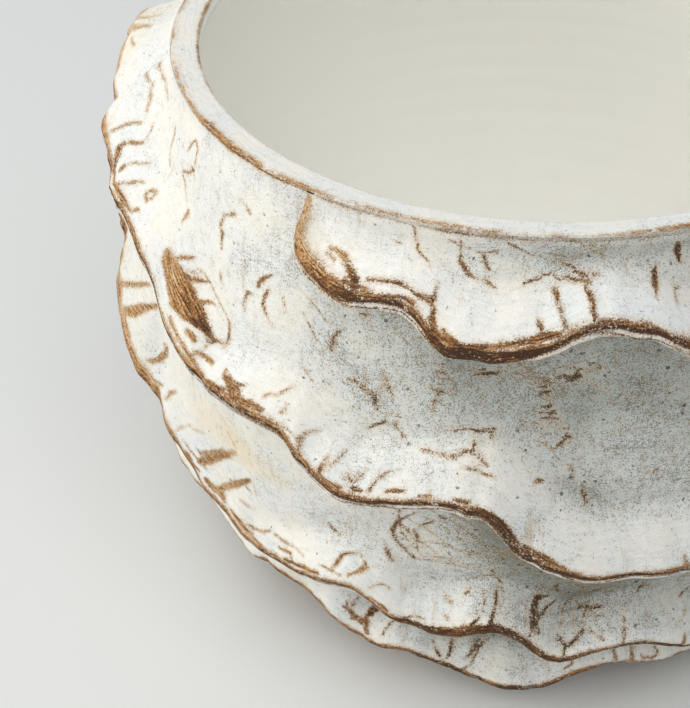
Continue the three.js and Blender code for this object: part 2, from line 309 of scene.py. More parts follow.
def makeWhitewash():
    material, tree = newMaterial("whitewashed_stoneware")
    field = slipFields(tree)
    for name, (total, parts) in slip["sums"].items():
        for part, weight in parts.items():
            total = node(tree, "ShaderNodeMath", {0: field[part], 1: weight, 2: total},
                         operation="MULTIPLY_ADD").outputs[0]
        field[name] = total
    speckRadius = node(tree, "ShaderNodeMath", {0: field["speckSize"], 1: field["speckLuck"]},
                       operation="MULTIPLY")
    field["speckEdge"] = node(tree, "ShaderNodeMath", {0: speckRadius.outputs[0], 1: field["speckAway"]},
                              operation="SUBTRACT").outputs[0]
    for name, (source, start, full, least, most) in slip["ranges"].items():
        field[name] = node(tree, "ShaderNodeMapRange", {
            "Value": field[source], "From Min": start, "From Max": full,
            "To Min": least, "To Max": most}).outputs[0]
    bare = node(tree, "ShaderNodeMapRange", {
        "Value": field["ragged"], "From Min": slip["bareFrom"], "From Max": slip["bareTo"]},
        interpolation_type="SMOOTHSTEP")
    field["bareClay"] = node(tree, "ShaderNodeMath", {0: bare.outputs[0], 1: field["fleck"]},
                             operation="MULTIPLY").outputs[0]

    white = node(tree, "ShaderNodeMix", {
        "Factor": field["cloud"], "A": srgb(slip["warmWhite"]), "B": srgb(slip["coolWhite"])},
        data_type="RGBA")
    for colour, factors in slip["layers"]:
        strength = field[factors[0]]
        for factor in factors[1:]:
            strength = node(tree, "ShaderNodeMath", {0: strength, 1: field.get(factor, factor)},
                            operation="MULTIPLY").outputs[0]
        white = node(tree, "ShaderNodeMix", {
            "Factor": strength, "A": white.outputs["Result"], "B": srgb(slip[colour])}, data_type="RGBA")

    # the bare clay: ochre at its rubbed fringe, darker inside, streaked along the lip
    tone = node(tree, "ShaderNodeMath", {0: field["tone"], 1: field["core"]}, operation="SUBTRACT")
    fired = node(tree, "ShaderNodeValToRGB", {"Fac": tone.outputs[0]})
    stops = fired.color_ramp.elements
    for index, (colour, position) in enumerate(slip["clayTones"].items()):
        stop = stops[index] if index < len(stops) else stops.new(position)
        stop.position, stop.color = position, srgb(slip[colour])
    # painted shade: the bare clay turns grey-brown in the hollows
    fired = node(tree, "ShaderNodeMix", {
        "Factor": field["clayInPaintedShade"], "A": fired.outputs["Color"], "B": srgb(slip["paintedShadeClay"])},
        data_type="RGBA")
    colour = node(tree, "ShaderNodeMix", {
        "Factor": field["bareClay"], "A": white.outputs["Result"], "B": fired.outputs["Result"]},
        data_type="RGBA")
    relief = 0.0
    for part, weight in slip["relief"].items():
        relief = node(tree, "ShaderNodeMath", {0: field[part], 1: weight, 2: relief},
                      operation="MULTIPLY_ADD").outputs[0]
    bump = node(tree, "ShaderNodeBump", {
        "Height": relief, "Distance": slip["reliefDepth"] * metre, "Strength": 1.0})
    shader = node(tree, "ShaderNodeBsdfPrincipled", {
        "Base Color": colour.outputs["Result"], "Normal": bump.outputs[0], "Roughness": slip["roughness"],
        "IOR": 1.5, "Specular IOR Level": 0.3})
    node(tree, "ShaderNodeOutputMaterial", {"Surface": shader.outputs[0]})
    return material


# Cream glaze, poured inside and fired to a soft satin: smooth, with faint clouds.
glaze = {
    "pale": "#fcfaf4",
    "deep": "#f9f8f1",
    "cloudSize": 45.0,
    "cloudDetail": 3.0,
    "grainSize": 6.0,  # slow ripples where the glaze ran
    "grainDetail": 2.0,
    "grainDepth": 0.15,
    "grainStrength": 0.4,
    "roughness": 0.38,
    "gloss": 0.5,
}

# Bare brown stoneware, wiped with a wet sponge: dry and sandy, a little darker in its pits.
bareClay = {
    "pale": "#a3703f",
    "deep": "#76492a",
    "cloudSize": 7.0,
    "cloudDetail": 4.0,
    "grainSize": 0.8,
    "grainDetail": 3.0,
    "grainDepth": 0.3,
    "grainStrength": 0.8,
    "roughness": 0.92,
    "gloss": 0.3,
}


def makeFired(name, finish):  # two close colours in soft clouds, over a fine relief
    material, tree = newMaterial(name)
    place = node(tree, "ShaderNodeTexCoord").outputs["Object"]
    place = node(tree, "ShaderNodeVectorMath", {0: place, "Scale": 1 / metre}, operation="SCALE").outputs[0]
    cloud = node(tree, "ShaderNodeTexNoise", {
        "Vector": place, "Scale": 1 / finish["cloudSize"], "Detail": finish["cloudDetail"]})
    grain = node(tree, "ShaderNodeTexNoise", {
        "Vector": place, "Scale": 1 / finish["grainSize"], "Detail": finish["grainDetail"]})
    colour = node(tree, "ShaderNodeMix", {
        "Factor": cloud.outputs["Fac"], "A": srgb(finish["pale"]), "B": srgb(finish["deep"])},
        data_type="RGBA")
    bump = node(tree, "ShaderNodeBump", {
        "Height": grain.outputs["Fac"], "Distance": finish["grainDepth"] * metre,
        "Strength": finish["grainStrength"]})
    shader = node(tree, "ShaderNodeBsdfPrincipled", {
        "Base Color": colour.outputs["Result"], "Normal": bump.outputs[0],
        "Roughness": finish["roughness"], "IOR": 1.5, "Specular IOR Level": finish["gloss"]})
    node(tree, "ShaderNodeOutputMaterial", {"Surface": shader.outputs[0]})
    return material


whitewashMaterial = makeWhitewash()
glazeMaterial = makeFired("cream_glazed_stoneware", glaze)
bareClayMaterial = makeFired("bare_stoneware", bareClay)
print("materials made")


def ring(name, profile, material, step, wobble, attributesOf):
    # a turned piece with a hand-made wobble; the profile is a closed list of (radius, height)
    angles = np.arange(0, 360, step)
    radians = np.radians(angles)[:, None]
    radius, height = np.array(profile, float).T
    radius = np.broadcast_to(radius, (len(angles), len(radius)))
    height = np.broadcast_to(height, radius.shape)
    points = np.stack([radius * np.cos(radians), radius * np.sin(radians), height], axis=-1)
    shift = wobble(points, angles)
    radius = radius + shift[..., 0]
    height = height + shift[..., 1]
    points = np.stack([radius * np.cos(radians), radius * np.sin(radians), height], axis=-1)
    return gridMesh(name, points, attributesOf(points, angles), True, material)


def secondFinish(piece, material, rows):  # gives the marked rows of a ring another material
    piece.data.materials.append(material)
    columns = len(piece.data.polygons) // len(rows)
    piece.data.polygons.foreach_set("material_index", np.tile(rows, columns))
    piece.data.update()


# The rim band: a flat strip of clay, whitewashed, its outer corner worn back to brown.
rim = {
    "step": 0.36,
    "innerRadius": 100.0,
    "wideRadius": 108.3,  # left of the front frill's start
    "narrowRadius": 106.9,  # over the front frill
    "narrowing": (228, 246),  # degrees between which it narrows
    "widening": (300, 312),
    "underside": 175.3,
    "cornerRounding": 1.1,
    "sag": 0.25,
    "degreeLength": 1.9,  # of its outer edge
    "wornWidth": 0.3,
    "wornSpots": [(214, 9, 1.2), (190, 8, -0.5)],  # an angle, its spread, and how much wider
    "keptWidth": 0.3,  # less worn where the front frill shields it
    "keptFrom": (232, 240),
    "keptTo": (290, 310),
    "innerWear": 0.85,  # a second worn line inside, on the left only
    "innerFrom": (130, 160),
    "innerTo": (196, 206),
    "innerEdge": -0.6,
    "hollow": 0.02,
    "scorch": -0.04,
}

# The bowl: thrown, then glazed inside; its outside is bare where no frill covers it.
bowl = {
    "step": 1.5,
    "inset": 3.6,  # the frills are pressed this far into the wall
    "bottomRounding": 1.5,
    "baseFrom": 20.0,  # the inner end of the flat underside
    "floorThickness": 8.0,
    "fillet": 16.0,
    "filletStretch": 1.5,
    "drainRadius": 10.0,
    "drainRounding": 1.5,
    "throwingRings": 9.0,  # height between the potter's finger rings inside
    "ringDepth": 0.07,
    "ringTilt": 1.4,
    "waveSize": 38.0,
    "waveDepth": 0.35,
}


def makeBowl():
    bottom, top = pot["bowlBottom"], rim["underside"]
    floorTop = bottom + bowl["floorThickness"]
    filletTop = floorTop + bowl["fillet"]
    drainRadius, rounding = bowl["drainRadius"], bowl["drainRounding"]
    outside = [(wallRadius(z) - bowl["inset"], z)
               for z in np.linspace(bottom + bowl["bottomRounding"], top, 60)]
    inside = [(wallRadius(z) - pot["wallThickness"], z) for z in np.linspace(top, filletTop, 90)]
    corner = inside[-1][0]
    bend = []
    for angle in np.radians(np.linspace(6, 90, 14)):
        inward = bowl["fillet"] * bowl["filletStretch"] * (1 - math.cos(angle))
        bend.append((corner - inward, filletTop - bowl["fillet"] * math.sin(angle)))
    flat = [(r, floorTop) for r in np.linspace(bend[-1][0], drainRadius + rounding, 24)[1:]]
    drain = [
        (drainRadius + 0.4, floorTop - 0.4),
        (drainRadius, floorTop - rounding),
        (drainRadius, bottom + rounding),
        (drainRadius + rounding, bottom),
    ]
    baseEnd = pot["bottomRadius"] - bowl["bottomRounding"]
    base = [(r, bottom) for r in np.linspace(bowl["baseFrom"], baseEnd, 14)]
    profile = outside + inside + bend + flat + drain + base

    def fingerRings(points, angles):
        height = points[..., 2]
        rows = np.arange(len(profile))
        isInside = (rows >= len(outside)) & (rows < len(outside) + len(inside))
        fade = smooth(height, filletTop, filletTop + 20)
        fade = fade * (1 - smooth(height, pot["bowlTop"] - 12, pot["bowlTop"]))
        climb = height + np.radians(angles)[:, None] * bowl["ringTilt"]
        swing = np.sin(climb * 2 * math.pi / bowl["throwingRings"])
        shift = np.zeros(points.shape[:-1] + (2,))
        shift[..., 0] = swing * bowl["ringDepth"] * fade * isInside
        shift[..., 0] += clayNoise(points, bowl["waveSize"], 5) * bowl["waveDepth"] * fade * isInside
        return shift

    piece = ring("bowl_body", profile, glazeMaterial, bowl["step"], fingerRings, lambda points, angles: {})
    outer = np.zeros(len(profile), dtype=np.int32)
    outer[:len(outside) - 1] = 1
    outer[-(len(base) + 1):] = 1
    secondFinish(piece, bareClayMaterial, outer)
    settle(piece, "bowl")


def makeRim():
    top = pot["rimTop"]
    inner, outer, bottom = rim["innerRadius"], rim["wideRadius"], rim["underside"]
    turnIn = rim["cornerRounding"]
    bowlInside = float(wallRadius(bottom)) - pot["wallThickness"]
    roundIn = [(inner + turnIn * (1 - math.sin(a)), top - turnIn * (1 - math.cos(a)))
               for a in np.radians(np.linspace(90, 0, 6))]
    roundOut = [(outer - turnIn * (1 - math.sin(a)), top - turnIn * (1 - math.cos(a)))
                for a in np.radians(np.linspace(0, 90, 7))]
    flat = [(r, top) for r in np.linspace(inner + turnIn, outer - turnIn, 14)[1:-1]]
    side = [(outer, top - 1.5), (outer - 0.5, top - 2.0), (outer - 1.6, top - 2.6), (outer - 2.2, bottom)]
    under = [(r, bottom) for r in (outer - 4, mix(inner, outer, 0.4), bowlInside + 1, bowlInside)]
    innerSide = [(mix(bowlInside, inner, share), mix(bottom, top - turnIn, share)) for share in (0.35, 0.7)]
    profile = (roundIn + flat + roundOut + side + under + innerSide)[::-1]

    def handMade(points, angles):
        narrow = smooth(angles, *rim["narrowing"]) * (1 - smooth(angles, *rim["widening"]))
        width = mix(rim["wideRadius"], rim["narrowRadius"], narrow) - rim["wideRadius"]
        lengths = angles * rim["degreeLength"]
        width = width + along(lengths, 30, 11) * 0.35 + along(lengths, 7, 12) * 0.15
        radius = np.hypot(points[..., 0], points[..., 1])
        outward = smooth(radius, inner, outer)
        shift = np.zeros(points.shape[:-1] + (2,))
        shift[..., 0] = (width[:, None] + clayNoise(points, 4, 14) * 0.12) * outward
        shift[..., 1] = (clayNoise(points, 22, 13) * 0.22 - rim["sag"]) * (points[..., 2] > top - 3)
        return shift

    def finish(points, angles):
        lengths = angles * rim["degreeLength"]
        radius = np.hypot(points[..., 0], points[..., 1])
        outerEdge = radius.max(axis=1)[:, None]
        fromCorner = np.hypot(outerEdge - radius - 0.4, np.clip(top - 0.9 - points[..., 2], 0, None))
        breadth = rim["wornWidth"] + along(lengths, 26, 15) * 0.4 + along(lengths, 6, 16) * 0.6
        for middle, spread, wider in rim["wornSpots"]:
            breadth = breadth + wider * np.exp(-((angles - middle) / spread) ** 2)
        kept = smooth(angles, *rim["keptFrom"]) * (1 - smooth(angles, *rim["keptTo"]))
        breadth = breadth - rim["keptWidth"] * kept
        inside = np.hypot(radius - inner - 0.4, np.clip(top - 0.6 - points[..., 2], 0, None))
        onLeft = smooth(angles, *rim["innerFrom"]) * (1 - smooth(angles, *rim["innerTo"]))
        innerBreadth = rim["innerEdge"] + rim["innerWear"] * onLeft + along(lengths, 5, 17) * 0.35
        bare = np.maximum((breadth[:, None] - fromCorner) * 0.65, innerBreadth[:, None] - inside)
        spread = np.stack([np.broadcast_to(lengths[:, None], radius.shape), radius - points[..., 2],
                           np.zeros_like(radius)], axis=-1)
        return {
            "bare": bare,
            "hollow": bare * 0 + rim["hollow"],
            "scorch": bare * 0 + rim["scorch"],
            "lay": spread,
        }

    piece = ring("rim_clay_band", profile, whitewashMaterial, rim["step"], handMade, finish)
    glazed = np.zeros(len(profile), dtype=np.int32)
    glazed[:len(innerSide)] = 1  # its inner side, below the corner
    glazed[-1] = 1
    secondFinish(piece, glazeMaterial, glazed)
    settle(piece, "rim_band")


# The foot: a coil of bare clay, trimmed flat and rounded where it meets the table.
foot = {
    "step": 1.0,
    "width": 10.0,
    "outerRadius": 78.0,
    "rounding": 2.0,
    "height": 7.9,
    "spread": 0.6,  # its top is squeezed out against the bowl
    "lumpSize": 16.0,
    "lumpDepth": 0.35,
}


def makeFoot():
    outer, inner = foot["outerRadius"], foot["outerRadius"] - foot["width"]
    bend = np.radians(np.linspace(0, 90, 6))
    r = foot["rounding"]
    profile = [(inner + r * (1 - math.sin(a)), r * (1 - math.cos(a))) for a in bend[::-1]]
    profile += [(radius, 0) for radius in np.linspace(inner + r, outer - r, 6)[1:-1]]
    profile += [(outer - r * (1 - math.sin(a)), r * (1 - math.cos(a))) for a in bend]
    profile += [(outer, z) for z in (4, 6)]
    profile += [(outer + foot["spread"], foot["height"]), (inner - foot["spread"], foot["height"])]
    profile += [(inner, z) for z in (6, 4)]

    def handMade(points, angles):
        shift = np.zeros(points.shape[:-1] + (2,))
        shift[..., 0] = clayNoise(points, foot["lumpSize"], 21) * foot["lumpDepth"] * (points[..., 2] > 1)
        return shift

    piece = ring("foot_coil", profile, bareClayMaterial, foot["step"], handMade, lambda points, angles: {})
    settle(piece, "foot_ring")


makeBowl()
makeRim()
makeFoot()
print("bowl, rim and foot made")


# Each frill winds down from the rim. A route gives degrees turned since the start, how far
# down the wall the lip has come in percent, and how far it stands out from the wall. By the
# same turn, the hollow depths give how deep the slab is pushed in above its lip and how grey
# its painted shade is there, shade adds more painted shade to that grey, lipWidth is the
# flare's width as a share of its reach, edge is how far the slip is worn off up the slab and
# down its face, and topLine is the worn top edge's width. A scorch spot is a round spot of
# darker or, below zero, paler clay: (turn, rise over the lip, radius, amount).
frills = [
    {"node": "frill_right", "start": 16,
     "hollows": [(0, 0.5), (60, 1), (130, 0.5), (200, 0.5), (222, 0.5), (232, 1.6), (270, 1.4)],
     "lipWidth": [(0, 1.3), (215, 1.3), (228, 0.9), (270, 0.9)],
     "shade": [(0, 0), (224, 0), (232, 0.45), (262, 0.5), (285, 0)],
     "edge": [(208, 1.2, 2), (216, 1.5, 2), (224, 1.4, 2), (232, 1.3, 2.4), (240, 1.7, 2.6), (248, 2, 2.8),
              (256, 2.2, 3), (262, 1.4, 2.4)],
     "scorch": [(226, 0, 8, 0.4), (238, 0, 9, 0.5), (251, 0, 9, 0.5)],
     "route": [
        (0, 1.5, 4), (4, 3.7, 8), (10, 6.8, 11), (20, 7.4, 11), (29, 11.7, 12), (38, 20.3, 12),
        (46, 22.8, 11), (58, 21.5, 10), (66, 22.8, 10), (79, 36.3, 12), (88, 41.2, 12),
        (101, 40, 10), (108, 41.8, 11), (121, 54.8, 12), (131, 59.7, 11), (143, 57.8, 10),
        (150, 59.7, 11), (163, 73.2, 12), (172, 77.5, 11), (182, 78.8, 10), (190, 84.3, 8),
        (199, 88.6, 8.5), (204, 85.8, 8.5), (208, 84.3, 8.5), (213, 85.8, 8), (219, 89.8, 9.5),
        (222, 92.6, 11), (227.5, 94.2, 12), (231, 93.7, 12), (234.5, 95, 12), (238, 97.1, 12),
        (244, 99.1, 14), (247.5, 100, 16), (253.5, 100, 16), (257, 98.6, 14), (261, 96.1, 12),
        (268, 95.4, 11), (274, 97.8, 12), (283, 100, 13), (300, 100, 13)]},
    {"node": "frill_back", "start": 88,
     "hollows": [(0, 0.5), (40, 0.8), (60, 0.4), (75, 0.1), (122, 0.1), (138, 0.3), (155, 0.6), (163, 0.8),
                 (172, 1.45), (192, 1.45), (230, 0.7)],
     "lipWidth": [(0, 1.3), (158, 1.3), (170, 0.85), (205, 0.85), (220, 1.3)],
     "edge": [(84, 1.8, 2), (92, 2.8, 2.4), (100, 3.1, 2.4), (110, 3, 2.4), (118, 2.4, 2.4),
              (124, 1.4, 2), (132, 1.8, 2.4), (140, 1.6, 2.4), (148, 0.9, 2), (154, 0.6, 1.8),
              (160, 1.1, 2.8), (166, 2, 3.4), (173, 1.8, 3.2), (180, 1.8, 3), (186, 1.4, 2.6),
              (190, 0.8, 2)],
     "shade": [(0, 0), (160, 0), (168, 0.12), (174, 0.7), (192, 0.82), (205, 0.4), (230, 0)],
     "scorch": [(98, 3, 7, -0.3), (104, 4, 9, -0.35), (112, 3, 6, -0.2), (126, 30, 14, -0.6),
                (134, 38, 12, -0.8), (142, 34, 10, -0.6), (125, 12, 8, -0.4), (129, 9, 7, -0.2),
                (164, 0, 9, 0.5), (174, 0, 9, 0.6), (184, 0, 9, 0.5)],
     "route": [
        (0, 1.5, 4), (4, 3.7, 8), (10, 7.4, 11), (18, 10.5, 12), (28, 11.7, 12), (43, 23.4, 12),
        (52, 26.5, 11), (61, 26.5, 10), (77, 38.2, 12), (84, 39.9, 12.8), (86.8, 40, 12),
        (90, 39.8, 11.1), (94.8, 39.4, 8.8), (97.6, 39.4, 10.1), (100.4, 40.2, 10.6),
        (102, 41.6, 11.8), (104, 44.3, 12.2), (105.6, 47.4, 12.7), (106.6, 49.6, 12.6),
        (108, 52.3, 12.6), (109.2, 54, 12), (110.4, 55.5, 10.9), (111.2, 56.4, 9.6),
        (112.4, 57.8, 8.7), (113.4, 59, 7.3), (114.2, 60, 7.6), (115.6, 61.8, 9.1), (119, 65.8, 9),
        (130, 75.1, 9), (135, 78.2, 9), (142, 77.5, 9), (150, 73.8, 9.5), (154, 72.6, 10),
        (157.5, 76, 10), (160, 78.3, 10.5), (165, 79.7, 12), (169, 79.1, 12), (174, 75.7, 12),
        (178, 78.2, 12), (181.5, 83.4, 13), (184.5, 85.4, 14), (188, 84.1, 14), (192, 82.1, 14),
        (198, 83.1, 13), (210, 92.9, 14), (218, 97.2, 15), (228, 99.7, 15), (238, 99.7, 14),
        (252, 96.9, 13), (267, 100, 14), (282, 100, 13)]},
    {"node": "frill_left", "start": 160,
     "hollows": [(0, 0.1), (50, 0.22), (66, 0.45), (80, 0.88), (95, 1.15), (103, 1.3), (112, 1.75),
                 (140, 1), (170, 0.6), (220, 1)],
     "shade": [(0, 0), (72, 0), (82, 0.3), (112, 0.25), (130, 0)],
     "topLine": [(0, -2), (36, -2), (44, 0.1), (54, 0.8), (64, 0.4), (72, -0.2)],
     "scorch": [(50, 11, 6, -0.4), (57, 11, 6, 0.8), (8, 3, 8, -0.6), (15, 2, 6, -0.4),
                (25, 2, 7, -0.4), (31, 3, 6, 0.3), (103, 0, 8, 0.6)],
     "edge": [(52, 0.9, 2), (60, 1.2, 2), (68, 1.7, 2.2), (75, 1.3, 2), (82, 1.5, 2), (88, 0.8, 2),
              (96, 0.7, 2), (101, 1.4, 2.8), (106, 1.6, 3), (112, 0.8, 2.4), (118, 0.6, 2)],
     "route": [
        (0, 1.5, 5), (3, 2.3, 12), (4.4, 2.8, 16.5), (7.6, 4.1, 17.7), (9, 4.8, 17.4),
        (11.2, 6.2, 17.6), (13.6, 7.8, 17), (16, 9.3, 16.8), (18, 10.6, 15.8), (19.6, 11.5, 14.7),
        (20.8, 12.1, 14.6), (21.7, 12.4, 16.6), (22.8, 12.9, 17.2), (24.8, 13.6, 16.6),
        (27.6, 14.8, 15), (29, 15.7, 14.4), (31.6, 17.4, 13.9), (33, 18.2, 14.4),
        (39.5, 21.2, 12.5), (44.5, 22.2, 12), (47.5, 24.9, 11), (50, 29.5, 10), (55, 35.1, 10),
        (58, 38, 9), (61, 38.8, 9), (70, 38.2, 9), (73, 39.2, 9), (76, 43.1, 9), (79, 45.5, 9),
        (82.5, 47, 9), (86, 46.6, 9), (95, 43.4, 10), (99, 43.6, 10.5), (101.5, 44.6, 11),
        (105.2, 51.7, 11), (108, 53.8, 11.5), (111.5, 56.4, 12), (116, 58.3, 12), (123, 59.1, 12),
        (130, 60.9, 12), (143, 73.2, 12), (151, 76.3, 11), (160, 75.1, 11), (167, 76.9, 11),
        (180, 86.8, 12), (189, 85.5, 11), (196, 88.6, 12), (208, 98.5, 15), (218, 100, 14),
        (237, 96.6, 13), (254, 100, 14), (273, 97.2, 13), (291, 100, 14), (310, 100, 13)]},
    {"node": "frill_front_left", "start": 232,
     "hollows": [(0, 0.12), (10, 0.2), (25, 0.6), (45, 0.8), (60, 1), (120, 0.6), (180, 1)],
     "hollowTop": 7,
     "lipWidth": [(0, 0.72)],
     "topLine": [(0, 0), (40, -0.05), (72, -0.3)],
     "scorch": [(1.5, 5, 7, -0.3), (9, 2, 6, 0.4), (15, 2, 6, 0.5), (21, 2, 5, 0.4), (26, 0, 5, 0.5),
                (33, 2, 7, 0.35), (41, 1, 6, 0.3)],
     "edge": [(0, 2.0, 2), (4, 2.2, 2), (8, 2.0, 2.8), (11, 1.4, 2.4), (13, 1.0, 1.6), (20, 0.8, 1.8),
              (22, 1.3, 4.2), (26, 0.5, 4.6), (30, 0.3, 4.4), (33, 0.4, 3.4), (36, 0.9, 1.8),
              (43, 0.9, 1.6)],
     "route": [
        (-0.9, 1.2, 5), (0, 4.2, 6.5), (2, 6.6, 7.5), (4.5, 7.9, 8.3), (9.5, 8.8, 9), (15, 7.9, 9),
        (18.5, 8.5, 9.5), (21, 10.3, 11), (24.5, 12, 13), (28.5, 11.8, 13), (34.5, 10.5, 12), (39, 8.7, 11),
        (43, 8.1, 11), (50, 10.5, 11), (64, 23.4, 12), (72, 27.7, 11), (84, 25.8, 10),
        (93, 27.1, 11), (107, 42.5, 12), (116, 46.8, 12), (129, 44.3, 12), (138, 47.4, 12),
        (152, 61.5, 12), (161, 64, 11), (171, 63.4, 10), (190, 80, 13), (200, 81.8, 12),
        (210, 80.6, 11), (229, 94.8, 15), (240, 97.2, 15), (251, 96, 14), (266, 99.7, 15),
        (276, 100, 15), (286, 99, 14), (305, 100, 13)]},
    {"node": "frill_front_right", "start": 304,
     "hollows": [(0, 0.7), (40, 1), (100, 0.5), (160, 0.9)],
     "route": [
        (0, 1.5, 4), (4, 3.7, 8), (10, 7.4, 11), (16, 9.2, 10), (24, 9.2, 10), (37, 18.5, 12),
        (46, 19.1, 11), (57, 17.8, 10), (63, 20.9, 11), (76, 35.7, 12), (85, 36.9, 10),
        (97, 35.7, 10), (103, 39.4, 11), (117, 56, 12), (127, 57.8, 11), (140, 56, 10),
        (146, 59.1, 11), (160, 75.1, 12), (170, 75.7, 11), (182, 75.1, 11), (188, 79.4, 12),
        (203, 92.3, 13), (214, 91.7, 12), (223, 92.3, 12), (231, 97.2, 13), (240, 99.7, 10),
        (252, 100, 7), (267, 98.5, 5), (283, 100, 5), (310, 100, 6)]},
]

# How every slab is made: the clay's own sizes, in millimetres where nothing else is said
clay = {
    "columnStep": 0.4,  # degrees between columns, 0.84 mm along the lip
    "outerRows": 82,
    "rowSpacing": 1.12,  # above 1 the rows crowd towards the lip
    "faceRows": 11,
    "underRows": 3,
    "backRows": 6,
    "backSpacing": 1.5,  # the rows crowd where the wall bends most
    "slabCover": 2.8,  # the slab's outer face over the bowl's wall
    "slabBack": -4.0,  # and its inner face, pressed into the wall
    "leastCover": -2.2,  # no dent goes deeper, or the bowl would show through
    "lipSwing": [(11, 0.5), (4, 0.28)],  # how unsteady the lip's height is, by (size, amount)
    "reachSwing": [(9, 0.55), (3.5, 0.3)],
    "edgeHeight": 4.0,
    "edgeUndercut": 1.3,
    "undercutBend": 1.5,
    "edgeLayers": 3,  # the pressed layers that show in the edge face
    "layerDepth": 0.2,
    "lipWidth": [(0, 1.3)],  # the flare's width as a share of the lip's reach, by degrees turned
    "straightFlare": 0.45,  # the share of the flare that is a straight slope
    "hollowDepth": 4.7,  # how far the thumb pushed the clay in above each lip
    "hollowFrom": 0.65,  # in flare widths from the lip
    "hollowTo": 1.2,
    "hollowTop": 18.0,  # it rises again this far under the slab's top
    "hollowStart": (2, 8),  # and at the slab's start
    "lipSearch": 26.0,  # how far along the slab the nearest bit of lip is looked for
    "startFlare": 6.0,
    "startRounding": 1.6,
    "startHeight": 0.25,  # the share of its thickness that a slab starts with
    "luting": 1.0,  # degrees that a slab runs on under the next one's start
    "lowestLip": 12.5,
    "leastBand": 2.0,
    "underRim": 179.0,  # the slabs run up the rim band's side
    "rimSide": 108.6,  # and close on it at this radius
    "closing": 9.0,
    "midRadius": 120.0,
    "tuck": 1.0,  # how far a slab runs up behind its upper neighbour's edge
    "tuckFade": 10.0,  # degrees over which it still runs up to the rim, hidden
    "coveWidth": 1.4,  # the fillet of slip in the corner under that edge
    "coveDepth": 1.1,
    "behind": -1.6,  # its tucked part, behind the wall's surface
    "folds": [(26.0, 0.9, 31), (11.0, 0.5, 32)],  # size, depth and seed
    "foldFade": 6.0,  # how far under the slab's top they fade out
    "lumps": [(4.5, 0.12, 33), (1.8, 0.05, 34)],  # finer unevenness
    "dentWidth": 1.3,
    "ridgeAt": 1.35,  # the clay pushed up round a dent, in its radii
    "ridgeWidth": 0.35,
    "ridgeHeight": 0.35,
    "digSpread": 3.5,  # how wide a tool's hollow beside its mark is
    "digEdge": 0.7,
    "digFade": 3.0,
    "slope": 1.25,  # a slab's surface is this much longer than its height
}
degreeLength = math.radians(1) * clay["midRadius"]  # along a slab

# How the slip is worn off and the clay burnt: millimetres, and pairs of (size, amount)
wear = {
    "up": 0.7,  # how far up from the lip, where a frill's own edge doesn't say
    "upSwing": (24, 1.5),
    "upJitter": (7, 0.7),
    "down": 2.0,  # and how far down its face
    "downSwing": (15, 1.3),
    "edgeFade": 6.0,  # degrees over which a frill's own edge takes over
    "edgeJitter": (5, 0.3),
    "start": 3.4,
    "startJitter": (8, 0.9),
    "startFace": 2.0,  # the end face is rubbed bare
    "steepness": 0.75,  # how fast an edge goes from slip to bare clay
    "markDepth": 0.8,
    "paintedLitSide": 190.0,  # painted light: the bare clay is paler on this side, the side the key lamp lights
    "paintedLitSpread": 34.0,
    "paintedLitFade": 0.05,  # painted light: and its marks are a little fainter there
    "clayDepth": 0.85,  # rubbed clay is ochre, and only the corner is worn down to the dark core
    "coreDepth": 1.5,
    "coreWidth": 0.9,
    "topSteepness": 0.8,
    "topJitter": (9, 0.3),
    "threadAt": 2.7,  # a second thin line, down the face
    "threadWidth": 0.3,
    "threadSwing": (12, 0.9),
    "paintedShadeNearLip": 0.4,  # painted shade: how grey the hollows are
    "paintedShadeDeep": 0.85,
    "paintedShadeSwing": (30, 0.3),
    "paintedShadeEvenly": 0.8,
    "paintedShadeTop": 1.2,  # painted shade: most under the slab's top, where the frill above shades it, and less so further down
    "paintedShadeFall": 0.5,
    "paintedShadeFallFrom": (18, 55),
    "scorch": 0.22,  # how dark the bare clay is; the field also carries painted shade and painted light
    "scorchSwing": (12, 0.25),
    # painted shade: the bare clay is darker in the hollows
    "scorchInGrey": 0.45,
    "paleStart": (6, 0.5),  # paler at a slab's start
    # painted light: how much paler the bare clay is on the lit side
    "paintedLitPale": 0.3,
    "faceGrey": 0.3,
    "faceScorch": 0.68,
    "faceSwing": (9, 0.25),
    "paleFace": (8, 0.6),
    "hidden": {"bare": -1.5, "hollow": 0.5, "scorch": 0.8},  # the underside and the back
}


